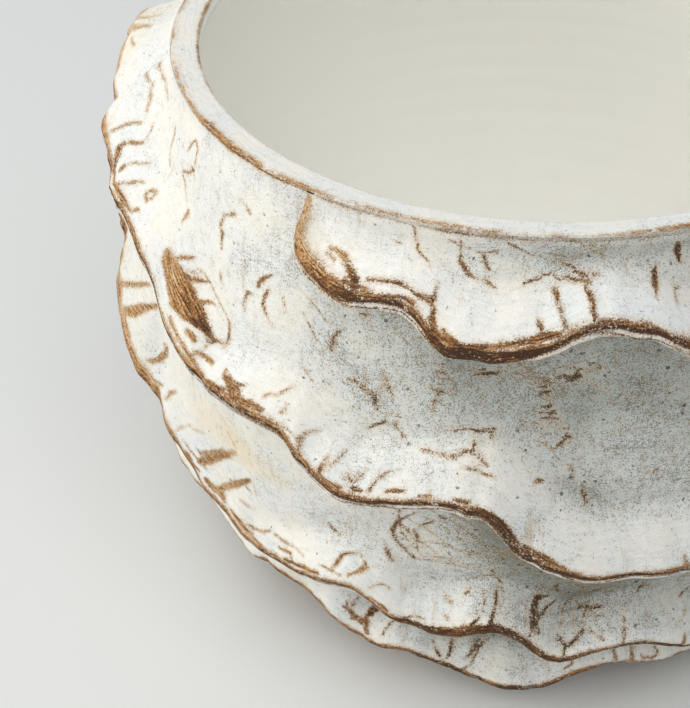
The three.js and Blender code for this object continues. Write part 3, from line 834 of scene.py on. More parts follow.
# Tool and thumb marks where the slip is rubbed off, for the side that the photograph shows.
# A mark is how deep the tool dug beside it, and (turn, rise over the lip, half width) points.
# The sign of the dig says which side of the mark is the pressed one.
toolMarks = {
    "frill_front_left": [
        (0.3, [(4.8, 5.1, 0.3), (5.9, 5.7, 0.4), (7.3, 5.3, 0.6), (8.2, 4.6, 0.6), (8.9, 3.7, 0.7),
            (9.7, 3.1, 1), (10.3, 2.6, 1)]),
        (-0.3, [(11.7, 3.1, 0.4), (13.1, 3, 0.3), (14.9, 3.1, 0.4), (16.3, 2.9, 0.4), (17.9, 2.9, 0.4),
            (19.2, 3.5, 0.6), (20.3, 4.5, 0.7)]),
        (0.6, [(20.7, 6.8, 0.4), (20.7, 5.3, 0.6), (20.7, 4.1, 0.4), (21.1, 3.3, 0.6),
            (21.1, 2.2, 0.8), (21.5, 1.3, 0.8), (21.8, 0.3, 1)]),
        (0.5, [(22.7, 2.2, 0.4), (23.1, 1.4, 0.8), (23.9, 0.9, 1.3), (24.7, 0.2, 1.1)]),
        (0, [(33.9, 4.2, 0.3), (34.3, 3.3, 0.6), (34.6, 2.3, 0.6), (35.1, 1.6, 0.4)]),
        (0.5, [(35.8, 7.9, 0.4), (36.3, 7.2, 0.7), (36.3, 6.2, 0.4), (36.7, 4.9, 0.4), (37, 3.2, 0.4),
            (37.3, 1.8, 0.6)]),
        (0.6, [(39.9, 6.1, 0.4), (40.3, 5.1, 0.7), (40.7, 3.5, 0.6), (40.6, 2.5, 0.6),
            (40.8, 1.4, 0.6)]),
        (0.4, [(23.1, 20.7, 0.2), (23.1, 17.7, 0.2), (23.1, 15.9, 0.3), (23.2, 14.4, 0.7),
            (23.8, 13.1, 0.7), (24.3, 11.7, 0.6), (25.1, 10.8, 0.3), (26, 10.6, 0.2)]),
        (0.2, [(26.8, 10.5, 0.4), (27.5, 9.8, 0.4), (28.2, 9.4, 0.3)]),
        (0, [(21.8, 19.2, 0.4), (22.7, 19.2, 0.4)]),
        (0, [(23.9, 18.7, 0.1), (24.9, 18.3, 0.2), (25.8, 17.6, 0.2), (27.1, 18.1, 0.2),
            (28.7, 19.4, 0.2)]),
        (-0.3, [(29.1, 22.6, 0.3), (30.3, 20.7, 0.5), (31.1, 19.5, 0.4), (32.1, 18, 0.4),
            (32.7, 16.7, 0.4), (33.9, 16.2, 0.2), (35.1, 14.9, 0.2), (35.9, 13.3, 0.1)]),
        (0, [(31.9, 9.8, 0.4), (32.7, 9.9, 0.2), (33.9, 10.1, 0.3), (34.7, 10.8, 0.4),
            (35.5, 10.6, 0.4), (36.2, 9.5, 0.3), (36.8, 8.8, 0.2)]),
        (0, [(36.7, 12.4, 0.2), (37.5, 11.2, 0.4), (38.3, 10.2, 0.4), (38.7, 9, 0.6), (39.5, 8.1, 0.4),
            (40.3, 7.4, 0.3)]),
        (0, [(37.2, 9.1, 0.4), (38.2, 8.2, 0.4), (39.3, 7.5, 0.3), (40.6, 6.5, 0.3)]),
        (0, [(37.5, 19.3, 0.2), (38.5, 18.4, 0.2), (39.5, 16.6, 0.2), (40.7, 15.6, 0.2),
            (41.9, 15.3, 0.2)]),
        (0, [(39.9, 15.6, 0.1), (41.1, 13.6, 0.2), (42.7, 11, 0.2)]),
        (0, [(16.5, 16.9, 0.4), (16.7, 16.3, 0.3), (16.7, 13.6, 0.2), (17.1, 11, 0.4),
            (17.3, 9.6, 0.4), (18.2, 9, 0.2), (19, 8.6, 0.2)]),
        (0, [(21.3, 21.3, 0.6), (21.5, 21.3, 0.3)]),
        (0, [(13.5, 11, 0.2), (14.3, 10.3, 0.3)]),
        (0, [(41, 7.3, 0.4), (41.8, 7.2, 0.2)]),
        (0, [(26.3, 16.7, 0.6), (26.7, 14.5, 0.7), (27.2, 13.2, 0.4)]),
        (0, [(4.6, 4.3, 0.2), (5.5, 4.4, 0.2), (6.3, 4.2, 0.2)]),
        (0, [(8.7, 2.2, 0.6), (10, 1.9, 0.7), (11.3, 1.7, 0.6), (12.2, 1, 0.6)]),
        (0, [(14.7, 0.6, 0.6), (15.9, 0.7, 0.4), (17.1, 1, 0.7), (18.3, 1.4, 0.7)]),
        (0, [(23.1, 0.2, 0.8), (24.4, 0, 1.1), (26.3, 0, 1), (28.4, 0.8, 0.8), (30.7, 1.2, 0.8),
            (33.1, 1.4, 0.8), (35.1, 1.6, 1), (36.6, 1.3, 0.7)]),
    ],
    "frill_left": [
        (0.7, [(32.4, 12.6, 0.4), (31.6, 10.6, 0.6), (30.4, 8.4, 0.7), (29.6, 6.4, 0.6),
            (29.2, 4.7, 0.7), (29.7, 3.5, 1), (30.2, 2.3, 0.7), (31.2, 1.9, 0.6)]),
        (0, [(31.3, 1.7, 0.6), (32.6, 2.3, 0.6), (33.6, 1.7, 0.7), (35.1, 2.3, 1.1), (36.3, 1.9, 1.3),
            (37.5, 2.2, 0.7), (39.1, 2.7, 0.3)]),
        (0, [(32.7, 4.9, 0.7), (32.9, 5.9, 1), (33, 6.4, 0.7)]),
        (-0.3, [(33.2, 7, 0.2), (33.9, 8.9, 0.3), (35, 10.7, 0.2), (35.9, 12.1, 0.1)]),
        (-0.6, [(34.2, 2.8, 0.6), (34.9, 4.6, 0.4), (35.7, 6, 0.3), (36.1, 6.7, 0.7), (36.5, 7.6, 0.3),
            (37.3, 8.9, 0.2)]),
        (0.5, [(40.4, 10.6, 0.4), (39.4, 9.8, 0.6), (38.9, 8.7, 0.6), (39.1, 7.6, 0.4), (40, 7.6, 0.4),
            (40.5, 8.9, 0.4), (40.5, 10, 0.4)]),
        (0, [(39, 3.3, 0.3), (39.5, 4.6, 0.6), (40, 5, 0.3)]),
        (-0.5, [(26.1, 3.2, 0.4), (26.8, 5.6, 0.4), (27.4, 7.7, 0.4), (28.3, 10.2, 0.3),
            (29.2, 12, 0.3)]),
        (0, [(31.3, 15.8, 0.3), (32, 15.4, 0.4), (32.4, 14.2, 0.4), (32.5, 13.4, 0.3)]),
        (-0.5, [(8.8, 0.4, 0.8), (8.8, 1.7, 1.1), (10.4, 4.8, 0.8), (10.5, 5.8, 0.6),
            (11.2, 7.4, 0.3)]),
        (0, [(7.5, 2.3, 0.4), (7.5, 2.9, 0.4), (8.2, 4.8, 0.4), (8.3, 5.7, 0.3)]),
        (0, [(4, 1, 0.6), (6, 1.2, 1), (9, 1, 1.4), (12, 1.2, 1), (15, 0.8, 0.6)]),
        (0, [(11.9, 4.4, 0.4), (14, 6.8, 0.4)]),
        (0, [(37.6, 25.8, 0.3), (38, 24.3, 0.4), (37.9, 21.5, 0.2), (38.3, 19.1, 0.2),
            (39.5, 16.9, 0.1)]),
        (0, [(45.6, 33.6, 0.3), (44.8, 30.4, 0.3), (44, 27.4, 0.2)]),
        (0, [(46.4, 27.7, 0.4), (47.1, 28.6, 0.6), (45.7, 24, 0.4), (44, 21.2, 0.4), (44, 19.8, 0.3),
            (45.2, 19.4, 0.3), (46.1, 18.3, 0.2), (46.7, 17.6, 0.1)]),
        (0, [(47.8, 18.4, 0.4), (47.7, 16.5, 0.6), (47.7, 15.3, 0.3)]),
        (0.4, [(58.8, 49.5, 0.2), (57.6, 46.6, 0.4), (56.7, 44.8, 0.4), (56.4, 42.3, 0.4),
            (56.1, 39.4, 0.3), (56.8, 39.3, 0.7), (56.8, 37.3, 0.4), (57.2, 35.6, 0.3)]),
        (0, [(57.8, 29.3, 0.4), (58.2, 27.5, 0.3)]),
        (0.4, [(67.2, 38, 0.6), (66.2, 36.8, 0.7), (65.4, 35.3, 0.8), (65.2, 33.3, 0.4)]),
        (0.4, [(67, 33.6, 0.4), (66.6, 31.3, 0.6), (66.4, 29, 0.6), (67, 26.9, 0.4), (67.6, 25.2, 0.2),
            (68.6, 23.4, 0.1)]),
        (0.4, [(64.3, 30.9, 0.3), (63.5, 30.8, 0.6), (63, 28.4, 0.4), (62.9, 26.5, 0.4),
            (63.1, 24.5, 0.2)]),
        (0, [(69.5, 33.3, 0.1), (70, 31.5, 0.2), (70.3, 29.7, 0.1)]),
        (0, [(48.4, 9.4, 1), (49.2, 10, 2.2), (50.4, 11.3, 3.1), (51.4, 11.1, 3.5), (52.2, 10.4, 3.9),
            (53.2, 10, 4.1), (54.5, 10.2, 3.6), (55.8, 10.7, 2.7), (56.9, 11.2, 1.5), (58, 10.7, 0.7),
            (58.5, 10.2, 0.4)]),
        (-0.3, [(49.8, 13.1, 0.4), (50.5, 15.6, 0.6), (51.4, 17.9, 0.7), (52, 19.8, 0.4)]),
        (-0.6, [(52.1, 14.9, 0.8), (52.9, 15.6, 1), (53.5, 16.8, 0.8), (54.4, 18.4, 0.7),
            (55.2, 20.2, 0.4)]),
        (0, [(52, 16.3, 0.2), (52.9, 16.3, 0.2)]),
        (0, [(52.7, 17.7, 0.2), (53.7, 17.5, 0.2)]),
        (0, [(53.4, 19, 0.2), (54.6, 19.2, 0.2)]),
        (-0.4, [(54.6, 12.7, 0.6), (55.3, 14, 0.6), (55.9, 15.5, 0.6), (57, 17.7, 0.3)]),
        (-0.5, [(53.8, 20.5, 0.2), (55.1, 20.9, 0.4), (56.1, 20.9, 0.3), (57.2, 21.2, 0.3),
            (58.4, 20.7, 0.4), (59.5, 20, 0.4), (60.3, 18, 0.6), (60.5, 15.3, 0.6), (60.4, 12.9, 0.6),
            (60.3, 11.2, 0.2)]),
        (0, [(58.2, 9.4, 0.8), (58.6, 10.2, 0.7), (59.2, 11, 0.4), (60, 10.5, 0.3)]),
        (0.3, [(58.4, 9.2, 0.1), (58, 7.6, 0.2), (57.6, 5.3, 0.2), (57, 3.3, 0.2)]),
        (0, [(55.2, 6.3, 0.7), (55.9, 6.8, 1), (56.7, 6.9, 0.6)]),
        (0, [(53.9, 7, 0.4), (54.8, 8, 0.4), (55.8, 9.1, 0.4)]),
        (0, [(52.4, 3.3, 0.6), (54, 2.8, 0.7), (55.3, 2.8, 0.8), (56.7, 2.9, 0.8), (57.6, 1.8, 0.6),
            (58.9, 0.6, 0.6)]),
        (0, [(60.2, 1, 1.1), (62.2, 1.1, 1.4), (64.3, 1.8, 1.7), (66.7, 2.1, 1.3), (68.7, 2.4, 1.1),
            (70.4, 2.5, 0.7)]),
        (0, [(63.6, 4.8, 1.4), (64.7, 4, 1.8), (66, 3.1, 1.7)]),
        (0, [(62.4, 6.2, 0.4), (62.6, 4.8, 0.7), (63.9, 4.4, 1), (65.9, 5.4, 0.6), (66.8, 6.1, 0.3)]),
        (0, [(69.8, 5.2, 0.2), (70.6, 6.6, 0.2), (71.5, 7.2, 0.2), (72.2, 8.8, 0.2),
            (72.8, 10.6, 0.1)]),
        (0, [(73.1, 7, 0.2), (73.1, 5.6, 0.2), (72.8, 4.3, 0.2)]),
        (0.6, [(77.9, 11.1, 0.2), (77.1, 9.4, 0.3), (76.4, 7.7, 0.3), (75.9, 5.4, 0.5),
            (75.9, 3.6, 0.4), (76, 2, 0.4)]),
        (0, [(73.4, 2.4, 0.3), (74.3, 3.6, 0.3), (75.2, 4.7, 0.3), (75.9, 5.4, 0.4)]),
        (0.6, [(79.8, 7.3, 0.2), (79.4, 5, 0.4), (79.2, 3, 0.7), (79.2, 1.7, 0.6)]),
        (0.5, [(81.7, 10, 0.1), (81.1, 8.1, 0.2), (80.5, 6, 0.2), (79.8, 3.4, 0.2)]),
        (0.5, [(85.4, 7.8, 0.1), (84.7, 6.2, 0.2), (84, 4.2, 0.2)]),
        (0.5, [(88.6, 7.5, 0.2), (87.8, 6.9, 0.2), (87.1, 5.6, 0.2), (86.5, 4.2, 0.3),
            (86.3, 3.1, 0.6)]),
        (0, [(82.4, 5.4, 0.3), (83.2, 5.4, 0.4), (83.7, 4.4, 0.3)]),
        (0, [(79.6, 1.6, 0.7), (80.8, 1.7, 0.7), (82.4, 2.1, 0.6)]),
        (0, [(84, 2.8, 1), (85.1, 2.6, 0.7)]),
        (0, [(88.4, 2.6, 0.4), (89.7, 3, 0.6), (90.7, 3, 0.6)]),
        (0, [(92.9, 1.6, 0.4), (94.2, 1.6, 0.6)]),
        (0, [(100.4, 0.9, 0.8), (101.6, 0.9, 1.4), (102.8, 1.7, 2), (104, 2.3, 1.5), (105, 1.7, 1)]),
        (0, [(106, 2.5, 0.8), (107.2, 1.9, 1), (108.6, 2.2, 1.3), (110, 1.3, 0.8), (111.2, 1.2, 0.6)]),
        (0, [(97.3, 1.7, 0.6), (98.9, 2.2, 0.7)]),
        (0.5, [(78.8, 41.5, 0.6), (78.2, 39.3, 0.6), (77.9, 36.8, 0.6), (77.7, 34.3, 0.6),
            (78, 33.7, 0.4)]),
        (0, [(82.1, 53, 0.4), (82.7, 52.7, 0.6), (83.5, 53.9, 0.3)]),
        (0, [(82.9, 52.8, 0.3), (82.9, 51.1, 0.3), (83.2, 49.7, 0.4)]),
        (0, [(72.2, 38.6, 0.1), (74, 40, 0.2), (75.6, 41.4, 0.2), (77.2, 41.2, 0.2)]),
        (0, [(73.1, 33.1, 0.2), (74.4, 32.6, 0.2), (75.6, 31.9, 0.2)]),
        (0, [(73.7, 17, 0.2), (74.8, 18, 0.3), (75.6, 18.5, 0.2)]),
        (0.5, [(81.1, 30.6, 0.2), (82.5, 30.3, 0.3), (83.9, 28.9, 0.4), (84.7, 27.5, 0.7),
            (84.7, 25.2, 0.6), (85.2, 23.3, 0.4), (85.8, 22, 0.3)]),
        (0.3, [(86.1, 33, 0.4), (86.2, 31, 0.4), (86.6, 29.1, 0.4), (87.4, 27.9, 0.3)]),
        (0, [(86.9, 21.9, 0.2), (87.8, 21.1, 0.3), (88.4, 20.4, 0.3)]),
        (0.3, [(87.8, 19.3, 0.3), (87.9, 17.2, 0.4), (88.4, 15.8, 0.3), (89.4, 13.9, 0.2)]),
        (-0.4, [(84, 17.1, 0.2), (84.8, 17.9, 0.4), (85.7, 18.8, 0.6), (86.4, 19.3, 0.7),
            (87.2, 17.6, 0.4), (88, 16.7, 0.3)]),
        (0, [(91.6, 30.9, 0.2), (92.6, 29.6, 0.4), (93.5, 28.6, 0.3), (94.4, 28, 0.4),
            (95.6, 27.5, 0.2)]),
        (0.4, [(93.6, 27.6, 0.4), (93.2, 25.9, 0.5), (93, 23.9, 0.3), (93.2, 22.3, 0.2)]),
        (0, [(92.4, 37.4, 0.4), (93.3, 36.7, 0.4), (94.2, 35.8, 0.2)]),
        (0, [(98.4, 36.3, 0.3), (99.6, 37.9, 0.6), (100, 36.1, 0.7), (101, 37.6, 0.4),
            (102, 40.5, 0.2)]),
        (0, [(95.8, 16.9, 0.3), (96.9, 17.1, 0.2), (98.1, 16.8, 0.4), (99.3, 17.7, 0.3),
            (101.4, 20, 0.4), (100.8, 18.1, 0.4), (100.9, 16, 0.3)]),
        (-0.4, [(94.3, 10.7, 0.1), (95.8, 10.3, 0.2), (97.1, 11.1, 0.3), (98, 12.3, 0.4),
            (98.7, 12.5, 0.3), (99.3, 12.3, 0.2), (100, 11.3, 0.4), (100.8, 10.9, 0.3)]),
        (0, [(98.8, 14.3, 0.4), (98.8, 13.1, 0.4)]),
        (0, [(97.7, 9.2, 0.2), (98.7, 9.8, 0.3), (99.7, 9.3, 0.2), (100.8, 9.1, 0.4),
            (101.9, 10.8, 0.3)]),
        (0, [(109.2, 57.4, 0.4), (111.1, 59.4, 0.5), (113.1, 59.8, 0.4)]),
        (0, [(108, 52, 0.5), (109.5, 54.5, 0.8), (110.8, 56.2, 0.9), (112.2, 57.5, 0.7)]),
        (0, [(110.4, 54.3, 0.4), (111.5, 55.8, 0.5), (112.7, 55.8, 0.4)]),
        (0, [(111.6, 58, 0.4), (112.8, 57.9, 0.4), (113.9, 57.3, 0.3)]),
        (0, [(106.6, 49.4, 0.4), (107.5, 50.9, 0.7), (108.6, 51.9, 0.5)]),
        (0, [(106.8, 48.3, 0.5), (107.7, 49.2, 0.8), (108.4, 49.7, 0.5)]),
        (0, [(107.2, 46.9, 0.4), (107.9, 47.8, 0.8), (108.3, 48, 0.5)]),
        (0, [(108.1, 46.9, 0.5), (108.3, 45.5, 0.5), (108.5, 44.4, 0.5)]),
        (0, [(107.2, 42.4, 0.4), (108.1, 43.5, 0.7), (109.1, 44.2, 0.5)]),
        (0, [(106.8, 40.2, 0.4), (108, 41.9, 0.8), (109.4, 43, 0.5)]),
        (0, [(107.3, 38.9, 0.4), (108.5, 40.9, 0.7), (109.6, 41.8, 0.5)]),
        (-0.4, [(109.7, 41.6, 0.3), (110.4, 39.8, 0.4), (111.1, 38.1, 0.4)]),
        (0, [(110.4, 36.9, 0.3), (111.2, 37.8, 0.7), (111.8, 37.7, 0.4)]),
        (0, [(109.9, 34.5, 0.4), (110.7, 36.1, 0.7), (111.3, 36.1, 0.4)]),
        (0, [(109.1, 31.4, 0.4), (109.8, 33.2, 0.7), (110.3, 33.7, 0.4)]),
        (0, [(104.6, 33.4, 0.2), (106.4, 36.6, 0.3), (108.3, 37.7, 0.3), (109.9, 38.5, 0.2)]),
        (0, [(107.4, 31.5, 0.1), (108.3, 31.7, 0.2), (109.3, 32.5, 0.3)]),
        (0, [(111.4, 28.5, 0.4), (112.1, 26.6, 0.4)]),
        (0, [(107.3, 20.6, 0.8), (107.9, 20.8, 0.7)]),
        (0, [(113.3, 22.9, 0.3), (113.6, 20, 0.4), (113.9, 17.9, 0.4), (114.2, 16.7, 0.3)]),
        (0, [(113, 63, 0.2), (114, 63.1, 0.4), (114.8, 62.5, 0.3)]),
        (0, [(57.2, 4.9, 0.4), (58.3, 5.4, 0.7), (59.6, 5.7, 0.7)]),
        (0, [(46, 34.7, 0.3), (47.3, 35.5, 0.4), (47.3, 32.4, 0.3), (47.4, 27.7, 0.3)]),
        (0, [(59.3, 54.4, 0.2), (60.6, 53.9, 0.4), (61.6, 52.3, 0.3)]),
        (0, [(21.3, 14.4, 0.2), (25, 16.1, 0.3), (27.3, 15.2, 0.3), (28.6, 14.2, 0.2)]),
        (0, [(21.3, 17.5, 0.2), (26.3, 19.7, 0.2), (30.4, 21.6, 0.2)]),
        (0, [(97.6, 33.7, 0.3), (99, 35.7, 0.7), (100.4, 36.8, 1.1), (101.3, 37.1, 0.6)]),
        (0, [(102.2, 41.2, 0.3), (104.2, 47.4, 0.4), (106.3, 52.6, 0.3), (107.9, 52.8, 0.3)]),
        (0, [(93.3, 34.5, 0.4), (94.4, 33.9, 0.4), (95.2, 33.4, 0.3)]),
        (0, [(113.2, 22.5, 0.4), (113.9, 20, 0.7), (114.3, 17.6, 0.4)]),
        (0, [(94.8, 15.5, 0.3), (96, 15.8, 0.4), (98, 16.9, 0.3), (100, 17.2, 0.4),
            (101.2, 18.2, 0.3)]),
        (0, [(91.8, 11.7, 0.2), (94.5, 10.9, 0.2), (97, 11, 0.2), (98.7, 13.1, 0.2)]),
        (0, [(86, 35.4, 0.2), (86.5, 31.9, 0.3), (87.2, 27.7, 0.3)]),
        (0, [(80.7, 30, 0.3), (82.3, 29.7, 0.4), (83.8, 28.6, 0.6), (84.8, 26.6, 0.7), (85, 24, 0.4)]),
        (0, [(86.2, 20.1, 0.2), (87.9, 17.1, 0.2), (89.1, 13.5, 0.2)]),
        (0, [(113.3, 61.6, 0.3), (114.8, 61.5, 0.3), (116, 60.8, 0.3)]),
        (0, [(114.2, 56.2, 0.2), (115.3, 55.6, 0.3), (116.3, 54.6, 0.2)]),
    ],
    "frill_back": [
        (0, [(96, 0.8, 0.4), (99, 0.7, 0.8), (102, 0.6, 1), (105, 0.6, 0.7), (108, 0.5, 0.8),
            (111, 0.5, 0.4)]),
        (-0.5, [(103.6, 4.6, 1), (104.7, 8.8, 0.8), (106, 14.8, 0.6), (107.2, 20.1, 0.4)]),
        (-0.7, [(105.3, 1.8, 0.7), (106.5, 8.4, 1), (107.6, 13.4, 1), (108.4, 17.2, 0.7),
            (109.2, 20, 0.6)]),
        (-0.5, [(111.9, 8.6, 0.6), (112.4, 11, 1), (112.8, 13.2, 0.8), (112.9, 15.1, 0.6),
            (112.4, 15.6, 0.4)]),
        (-0.4, [(115.4, 6, 0.3), (116, 8.8, 0.4), (116.2, 11, 0.6), (116.7, 12.9, 0.3)]),
        (0, [(105.6, 1, 0.7), (106.2, 1.1, 0.7), (106.9, 1, 0.7), (107.5, 1.1, 0.4)]),
        (0, [(109.8, 0.8, 0.4), (111.5, 2.3, 0.4), (113.3, 4.8, 0.6), (114, 6.1, 0.4)]),
        (0, [(118.8, 5.9, 0.2), (119.6, 9.1, 0.2), (120.4, 11.7, 0.2)]),
        (0, [(121.4, 12.4, 0.2), (124, 18.4, 0.2)]),
        (-0.7, [(124.5, 8.3, 1), (125.1, 10.4, 1.3), (125.7, 12.4, 1.3), (126.6, 14.9, 1),
            (128.8, 21.9, 0.8), (130.3, 24.6, 0.4)]),
        (0, [(122.9, 8.3, 0.6), (124, 9.5, 0.8), (125.2, 10, 0.8)]),
        (0, [(120.1, 5.1, 0.3), (121.6, 5, 0.4), (123.5, 6.3, 0.4), (124.9, 6.8, 0.4)]),
        (-0.6, [(127.5, 6, 0.6), (128.1, 8.4, 0.8), (128.9, 10.1, 0.7), (129.5, 12.1, 0.7),
            (130.4, 14.3, 0.6), (132, 18.6, 0.4)]),
        (0, [(132, 16.5, 0.4), (132.8, 17.4, 0.6)]),
        (0, [(131.2, 38.6, 0.2), (131.8, 36.6, 0.2), (132.3, 34.3, 0.2)]),
        (0, [(131.1, 10.3, 0.2), (132.3, 11.3, 0.3), (133.1, 11.3, 0.2)]),
        (0, [(120.7, 2.7, 0.8), (122, 1.8, 0.7), (123.6, 3.4, 0.6)]),
        (0, [(125.2, 4, 1), (126.4, 4.2, 1.3), (127.7, 4.7, 1), (128.7, 3.9, 0.7)]),
        (0, [(130, 3.9, 0.7), (131.6, 4.2, 1), (132.9, 3.7, 1), (134.2, 3, 0.8), (135.8, 2.3, 0.7)]),
        (0, [(133, 5.6, 0.4), (134, 5.8, 0.4), (134.8, 6.4, 0.4), (136, 7.2, 0.6), (136.9, 8.4, 0.4)]),
        (-0.3, [(138, 8, 0.4), (139.6, 7.6, 0.5), (141.4, 7.4, 0.3), (143.2, 7.6, 0.3),
            (144.8, 6, 0.3)]),
        (0, [(139.2, 4.4, 0.4), (140.5, 5, 0.6), (141.9, 5.1, 0.6), (142.4, 4, 0.3)]),
        (0.3, [(148.8, 17.9, 0.3), (149.5, 15.5, 0.4), (150.6, 13.6, 0.4)]),
        (0.7, [(153.6, 9.8, 0.2), (152.7, 9.4, 0.4), (152, 8.6, 0.6), (151.7, 7.5, 0.6),
            (151.2, 5.6, 0.6), (151, 4.6, 0.4)]),
        (-0.7, [(154.8, 10.1, 0.1), (155.5, 10.2, 0.4), (155.8, 9.7, 0.7), (155.4, 7.8, 0.7),
            (154.5, 5.3, 0.4), (153.5, 3.4, 0.4)]),
        (0.4, [(158, 18.9, 0.4), (158.4, 17.9, 0.6), (159.2, 17.3, 0.3)]),
        (0.6, [(162.8, 43, 0.3), (161.6, 39.7, 0.4), (160.8, 37.5, 0.6), (159.8, 33.7, 0.7),
            (159.2, 29.4, 0.7), (159.3, 26.9, 0.6), (160, 25.4, 0.4), (161.1, 23.3, 0.4),
            (162, 20.9, 0.4), (163.2, 21, 0.2)]),
        (0, [(163.2, 21, 0.2), (164.9, 21.8, 0.2), (166.9, 21.4, 0.2), (168.9, 20.3, 0.4),
            (169.6, 19.9, 0.3)]),
        (0, [(160.4, 35, 0.2), (161.5, 33.7, 0.2), (162.3, 30.6, 0.2), (162.8, 26.4, 0.2),
            (162.8, 23.9, 0.1)]),
        (0, [(163.7, 37.6, 0.4), (164.8, 39.3, 0.7), (165.4, 40.8, 0.3)]),
        (0, [(162.4, 34.2, 0.4), (162.8, 31.5, 0.7), (163, 29.1, 0.4)]),
        (0, [(166.3, 44.2, 0.6), (166.8, 42.7, 0.6), (167.5, 41.4, 0.3)]),
        (0, [(163, 29.1, 0.2), (164.8, 30.5, 0.3), (166.5, 30.5, 0.2), (168, 29.4, 0.2)]),
        (0, [(164.7, 24, 0.2), (167.2, 23.9, 0.2), (169.5, 21.8, 0.2), (171.6, 18.3, 0.2),
            (173.7, 15.2, 0.1)]),
        (0, [(170.7, 35.4, 0.1), (172.4, 29.1, 0.2), (174.3, 25.8, 0.2), (176, 25.2, 0.1)]),
        (0, [(171.9, 23.2, 0.2), (173.6, 21.8, 0.3), (175.2, 21.6, 0.2), (178.1, 25.9, 0.1)]),
        (0, [(170.7, 26.9, 0.3), (171.9, 23.8, 0.4)]),
        (0, [(178, 22.2, 0.4), (178.4, 23.9, 0.4)]),
        (0.4, [(174.3, 16, 0.3), (173.9, 14.6, 0.6), (174.4, 13.5, 0.4)]),
        (0, [(173.6, 12.5, 0.6), (172.8, 12.7, 0.4)]),
        (-0.4, [(173.9, 12.4, 0.4), (174.8, 11.2, 0.4), (175.4, 10.2, 0.4), (175.7, 8.7, 0.2),
            (175.8, 6.6, 0.1)]),
        (0.5, [(174.8, 8.9, 0.4), (174.8, 6.7, 0.5), (174.6, 4.5, 0.6), (174.3, 2.4, 0.7),
            (174, 1.3, 0.7)]),
        (0, [(172.9, 8.8, 0.4), (173.2, 6.9, 0.3)]),
        (0, [(172.9, 4.4, 0.2), (172.4, 3.4, 0.4), (171.6, 2.4, 0.7)]),
        (0, [(170.8, 10.9, 0.4), (170.2, 10.6, 0.3)]),
        (0, [(167.2, 9.5, 0.4), (167.7, 8.8, 0.2), (168.5, 8.1, 0.4)]),
        (0, [(167.5, 5.4, 0.4), (168, 4.5, 0.3)]),
        (0.4, [(184.1, 25, 0.3), (183.7, 23.2, 0.7), (183.9, 21.2, 0.6), (184.6, 19.1, 0.4)]),
        (0, [(181.6, 19.9, 0.4), (182.5, 20.8, 0.4), (182.9, 22.7, 0.4)]),
        (-0.3, [(185.9, 23.8, 0.3), (186.8, 22.4, 0.4), (187.9, 19.3, 0.6), (189, 17.2, 0.4),
            (190.4, 15.8, 0.3)]),
        (0, [(188.1, 16.4, 0.4), (189.2, 15.4, 0.6), (190.3, 15, 0.7), (191.2, 14.9, 0.4)]),
        (0.7, [(183, 18.1, 0.3), (182, 17, 0.7), (180.8, 15, 1.1), (180.4, 12, 1.3), (180.3, 9.2, 1.1),
            (180.2, 6.4, 0.8), (180, 4.2, 0.4)]),
        (0.4, [(186.3, 14.4, 0.4), (185.8, 13.6, 0.4), (185.2, 11.7, 0.3), (184.8, 9.3, 0.2)]),
        (0.4, [(184.2, 7.4, 0.2), (184.9, 5.7, 0.4), (185.2, 3.6, 0.4), (185.2, 1.7, 0.4)]),
        (0, [(188.7, 11.7, 0.2), (188.4, 10.1, 0.4), (188, 8.8, 0.2)]),
        (0.3, [(159.6, 9.3, 0.1), (158.8, 9.7, 0.2), (157.8, 8.3, 0.2), (156.7, 4.9, 0.1)]),
        (0, [(140.8, 2.2, 0.7), (143.4, 2.7, 0.8), (145.7, 2.3, 1), (148.5, 2.1, 0.7)]),
        (0, [(148.6, 4.7, 0.2), (150.5, 3.8, 0.2), (152.4, 2.8, 0.2)]),
        (0, [(123.2, 5.7, 0.9), (124.8, 10.8, 1.3), (126.4, 15, 1.5), (129.6, 24.8, 1.2),
            (132, 32, 0.8)]),
        (0, [(123.7, 10, 0.6), (125.7, 14.8, 0.8), (128.8, 24.4, 0.6)]),
        (0, [(126.8, 3.8, 0.9), (128.2, 8, 1.2), (130.3, 14.1, 1.2), (133.7, 24.4, 0.8)]),
        (0, [(103.9, 5.8, 0.8), (105.6, 12.8, 0.8), (107.1, 19.8, 0.6), (108.3, 24.5, 0.5)]),
        (0, [(106.2, 6, 1.0), (107.6, 11.8, 1.2), (108.8, 17.5, 0.8), (110.6, 24.1, 0.8)]),
        (0, [(106.4, 5.1, 0.8), (107.3, 5.6, 0.9), (107.9, 4.5, 0.8)]),
        (0, [(111.5, 7, 0.8), (112.4, 10.4, 0.9), (112.9, 14.3, 0.8), (113.5, 18.7, 0.6)]),
        (0, [(110, 2.9, 0.8), (110.4, 2.1, 0.8)]),
        (0, [(156.8, 1.3, 0.4), (158.4, 2.2, 0.7), (159.2, 1.9, 0.8)]),
        (0, [(163.3, 0.2, 1.1), (164.8, 0.6, 1.4), (166.4, 1, 1.4), (168.4, 1.1, 1.1),
            (170, 1.5, 0.7)]),
        (0, [(172.8, 0.9, 0.8), (174.1, 1.3, 1.1), (175.2, 0.1, 0.6)]),
        (0, [(161.6, 38.5, 0.2), (164.7, 35.3, 0.2), (168, 29.8, 0.2)]),
        (0, [(162.8, 43.7, 0.2), (166.2, 39.2, 0.3), (170.3, 30.9, 0.2)]),
        (0, [(164.4, 48, 0.2), (167.7, 42.1, 0.3), (172, 30.1, 0.2)]),
        (0, [(166, 50.7, 0.2), (169.6, 43.6, 0.2), (173.6, 30.5, 0.2)]),
        (0, [(167.6, 51.7, 0.2), (171.2, 43.9, 0.2), (174.8, 35.4, 0.2)]),
        (0, [(160.9, 33, 0.2), (163.2, 30, 0.2), (166, 25, 0.2)]),
